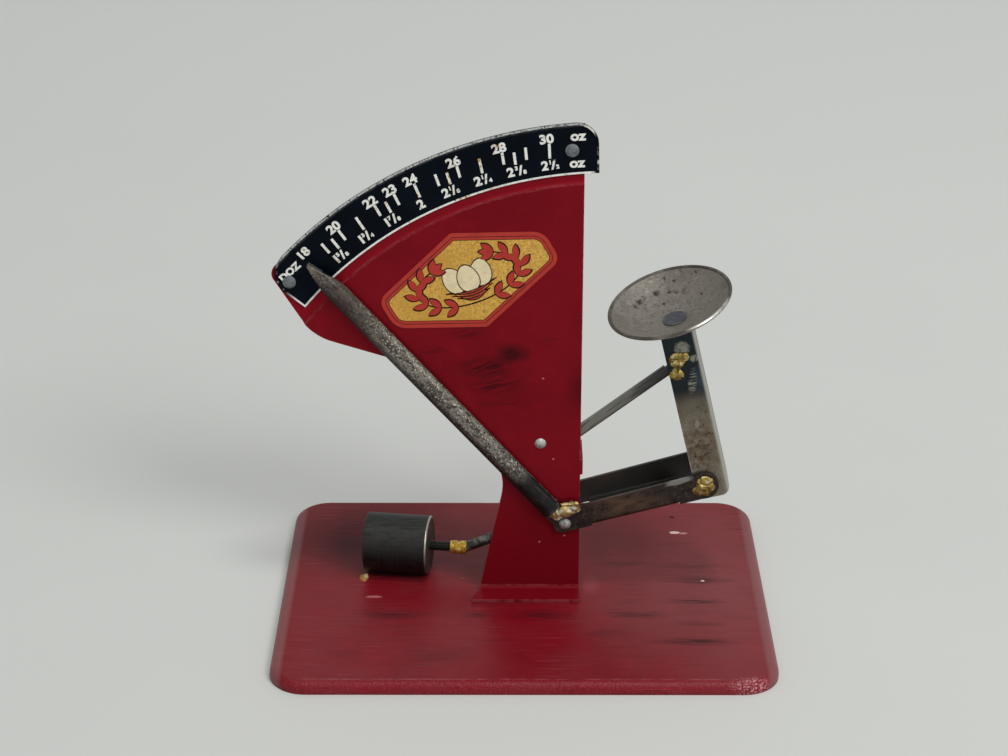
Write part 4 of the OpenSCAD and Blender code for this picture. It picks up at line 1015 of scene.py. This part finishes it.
def cut_thread(pitch, crest, root):
    """The weight's screw with a thread cut along it: a grid of points whose radius runs in a helix"""
    yaw = math.radians(7.5)
    start = Vector((-37.0, 9.8 + 13.6 * math.sin(yaw), 16.4))
    axis = Vector((-math.cos(yaw), math.sin(yaw), 0))
    side = Vector((math.sin(yaw), math.cos(yaw), 0))
    first, last, around = -8.0, 21.6, 24
    rows = round((last - first) / pitch * 6)
    shape = bmesh.new()
    rings = []
    for row in range(rows + 1):
        s = first + (last - first) * row / rows
        ring = []
        for k in range(around):
            turn = k / around
            phase = (s / pitch - turn) % 1
            radius = root + (crest - root) * min(1.0, 1.6 * (1 - abs(2 * phase - 1)))
            angle = 2 * math.pi * turn
            spot = start + axis * s + (side * math.cos(angle) + Vector((0, 0, math.sin(angle)))) * radius
            ring.append(shape.verts.new(spot * MM))
        rings.append(ring)
    for one, two in zip(rings, rings[1:]):
        for k in range(around):
            m = (k + 1) % around
            shape.faces.new((one[k], one[m], two[m], two[k]))
    shape.faces.new(rings[0])
    shape.faces.new(rings[-1])
    bmesh.ops.recalc_face_normals(shape, faces=shape.faces)
    low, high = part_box("weight_screw")
    for vertex in shape.verts:
        vertex.co = [min(max(vertex.co[i], low[i]), high[i]) for i in range(3)]
    data = bpy.data.meshes.new("screw_thread")
    shape.to_mesh(data)
    shape.free()
    return data


def black_screw():
    """Black-oxide steel thread, with the crests rubbed a little brighter"""
    metal = Finish("black_oxide_screw", "#121212", 0.42, metallic=0.5)
    metal.coat(metal.cloud(1.2, 0.45, 0.7, 171), "#1f1e1d", rough=0.5)
    metal.coat(metal.where(metal.edges(0.2), metal.cloud(1.0, 0.3, 0.5, 172)), "#6a6763", rough=0.34)
    metal.coat(metal.cloud(0.5, 0.3, 0.7, 173), height=0.01)
    return metal.done(0.08)


def mottled_bar():
    """Mild steel rod, bent hot: dark scale with grey patches and a little bronze spatter"""
    metal = Finish("mottled_steel_bar", "#423f3b", 0.42, metallic=0.75)
    metal.coat(metal.cloud(3.2, 0.46, 0.62, 181), "#858078", rough=0.4)
    metal.coat(metal.cloud(1.4, 0.55, 0.68, 182), "#1e1b19", rough=0.6)
    metal.coat(metal.specks(1.5, 0.3, 0.35, 183), "#8f826a", rough=0.45)
    metal.coat(metal.cloud(0.8, 0.3, 0.7, 184), height=0.05)
    return metal.done(0.1)


class EGGSCALE_OT_weight(bpy.types.Operator):
    """Finish the counterweight, thread its screw and mottle its bar"""
    bl_idname = "eggscale.weight"
    bl_label = "Blacken the weight"

    def execute(self, context):
        dress(blackened_weight(), "counterweight")
        new_piece("screw_thread", cut_thread(0.9, 2.0, 1.55), "beam", "blackened_steel",
                  [black_screw()], "weight_screw")
        dress(mottled_bar(), "weight_bar")
        return {"FINISHED"}


def floor_finish(look):
    """Plain matt board, a little uneven, with painted light: paler far away and a little darker near the
    front
    """
    board = Finish("plain_pale_floor", list(look.floor), 0.7, IOR=1.45)
    board.coat(board.cloud(160, 0.4, 0.7, 191), [c * 0.97 for c in look.floor[:3]] + [1.0])
    # Painted light: paler far away and a little darker near the front
    board.coat(board.beyond(1, 100, 800), [min(1, c * 1.2) for c in look.floor[:3]] + [1.0])
    board.coat(board.beyond(1, 100, -250), [c * 0.95 for c in look.floor[:3]] + [1.0])
    return board.done()


def set_world(look):
    """Even light from all round; the camera and polished metal see a pale background instead"""
    world = bpy.data.worlds.new("even_light")
    world.use_nodes = True
    bpy.context.scene.world = world
    tree = world.node_tree
    tree.nodes.clear()
    rays = tree.nodes.new("ShaderNodeLightPath")
    seen = tree.nodes.new("ShaderNodeMath")
    seen.operation = "MAXIMUM"
    tree.links.new(rays.outputs["Is Camera Ray"], seen.inputs[0])
    tree.links.new(rays.outputs["Is Glossy Ray"], seen.inputs[1])
    light = tree.nodes.new("ShaderNodeBackground")
    light.inputs["Color"].default_value = (1.0, 1.0, 1.0, 1.0)
    light.inputs["Strength"].default_value = look.fill
    background = tree.nodes.new("ShaderNodeBackground")
    background.inputs["Color"].default_value = look.background
    mix = tree.nodes.new("ShaderNodeMixShader")
    tree.links.new(seen.outputs[0], mix.inputs[0])
    tree.links.new(light.outputs[0], mix.inputs[1])
    tree.links.new(background.outputs[0], mix.inputs[2])
    output = tree.nodes.new("ShaderNodeOutputWorld")
    tree.links.new(mix.outputs[0], output.inputs["Surface"])


def soft_lamp(name, place, aim, size, power):
    """A square soft lamp at a place, aimed at another, in metres"""
    data = bpy.data.lights.new(name, "AREA")
    data.shape = "SQUARE"
    data.size = size
    data.energy = power
    lamp = bpy.data.objects.new(name, data)
    lamp.location = place
    lamp.rotation_euler = (Vector(aim) - Vector(place)).to_track_quat("-Z", "Y").to_euler()
    bpy.context.scene.collection.objects.link(lamp)


class EGGSCALE_OT_stage(bpy.types.Operator):
    """Lay the floor, set the lamps and place the camera"""
    bl_idname = "eggscale.stage"
    bl_label = "Set the stage"

    def execute(self, context):
        look = context.scene.egg_scale_stage
        half = 2.5
        data = bpy.data.meshes.new("floor")
        corners = [(-half, -half), (half, -half), (half, half), (-half, half)]
        data.from_pydata([(x, y, -0.05 * MM) for x, y in corners], [], [(0, 1, 2, 3)])
        data.materials.append(floor_finish(look))
        floor = bpy.data.objects.new("floor", data)
        context.scene.collection.objects.link(floor)
        set_world(look)
        soft_lamp("key_lamp", (1.40, -1.44, 1.90), (0, 0, 0.09), 1.05, look.key)
        soft_lamp("top_lamp", (0.18, -0.31, 1.38), (0, 0, 0.05), 0.2, look.top)
        camera_data = bpy.data.cameras.new("camera")
        camera_data.lens = look.lens
        camera_data.sensor_width = 36
        camera = bpy.data.objects.new("camera", camera_data)
        camera.location = (-4.68 * MM, -762.92 * MM, 463.46 * MM)
        pitch, yaw, roll = (math.radians(a) for a in (25.73, 0.22, -0.07))
        camera.rotation_euler = (Matrix.Rotation(yaw, 3, "Z") @ Matrix.Rotation(math.pi / 2 - pitch, 3, "X")
                                 @ Matrix.Rotation(roll, 3, "Z")).to_euler()
        context.scene.collection.objects.link(camera)
        context.scene.camera = camera
        context.scene.view_settings.view_transform = "Standard"
        return {"FINISHED"}


class EGGSCALE_PT_sidebar(bpy.types.Panel):
    """The egg scale's sizes, colours and steps"""
    bl_idname = "EGGSCALE_PT_sidebar"
    bl_label = "Egg scale"
    bl_space_type = "VIEW_3D"
    bl_region_type = "UI"
    bl_category = "Egg scale"

    def draw(self, context):
        for group in GROUPS:
            look = getattr(context.scene, GROUPS[group])
            box = self.layout.box()
            for name in group.__annotations__:
                box.prop(look, name)
        for step in STEPS:
            self.layout.operator(step.bl_idname)


GROUPS = {
    EggScaleEnamel: "egg_scale_enamel",
    EggScaleDial: "egg_scale_dial",
    EggScaleBadge: "egg_scale_badge",
    EggScaleStage: "egg_scale_stage",
}
STEPS = [EGGSCALE_OT_stage, EGGSCALE_OT_enamel, EGGSCALE_OT_dial, EGGSCALE_OT_badge,
         EGGSCALE_OT_levers, EGGSCALE_OT_dish, EGGSCALE_OT_braze, EGGSCALE_OT_weight]


def register():
    """Registers the settings, the steps and the sidebar panel"""
    for group, name in GROUPS.items():
        bpy.utils.register_class(group)
        setattr(bpy.types.Scene, name, PointerProperty(type=group))
    for step in STEPS:
        bpy.utils.register_class(step)
    bpy.utils.register_class(EGGSCALE_PT_sidebar)


def unregister():
    """Takes away what register added, in the opposite order"""
    bpy.utils.unregister_class(EGGSCALE_PT_sidebar)
    for step in reversed(STEPS):
        bpy.utils.unregister_class(step)
    for group, name in reversed(GROUPS.items()):
        delattr(bpy.types.Scene, name)
        bpy.utils.unregister_class(group)


def main():
    """Runs every step in order"""
    register()
    bpy.ops.eggscale.stage()
    bpy.ops.eggscale.enamel()
    bpy.ops.eggscale.dial()
    bpy.ops.eggscale.badge()
    bpy.ops.eggscale.levers()
    bpy.ops.eggscale.dish()
    bpy.ops.eggscale.braze()
    bpy.ops.eggscale.weight()


if __name__ == "__main__":
    main()
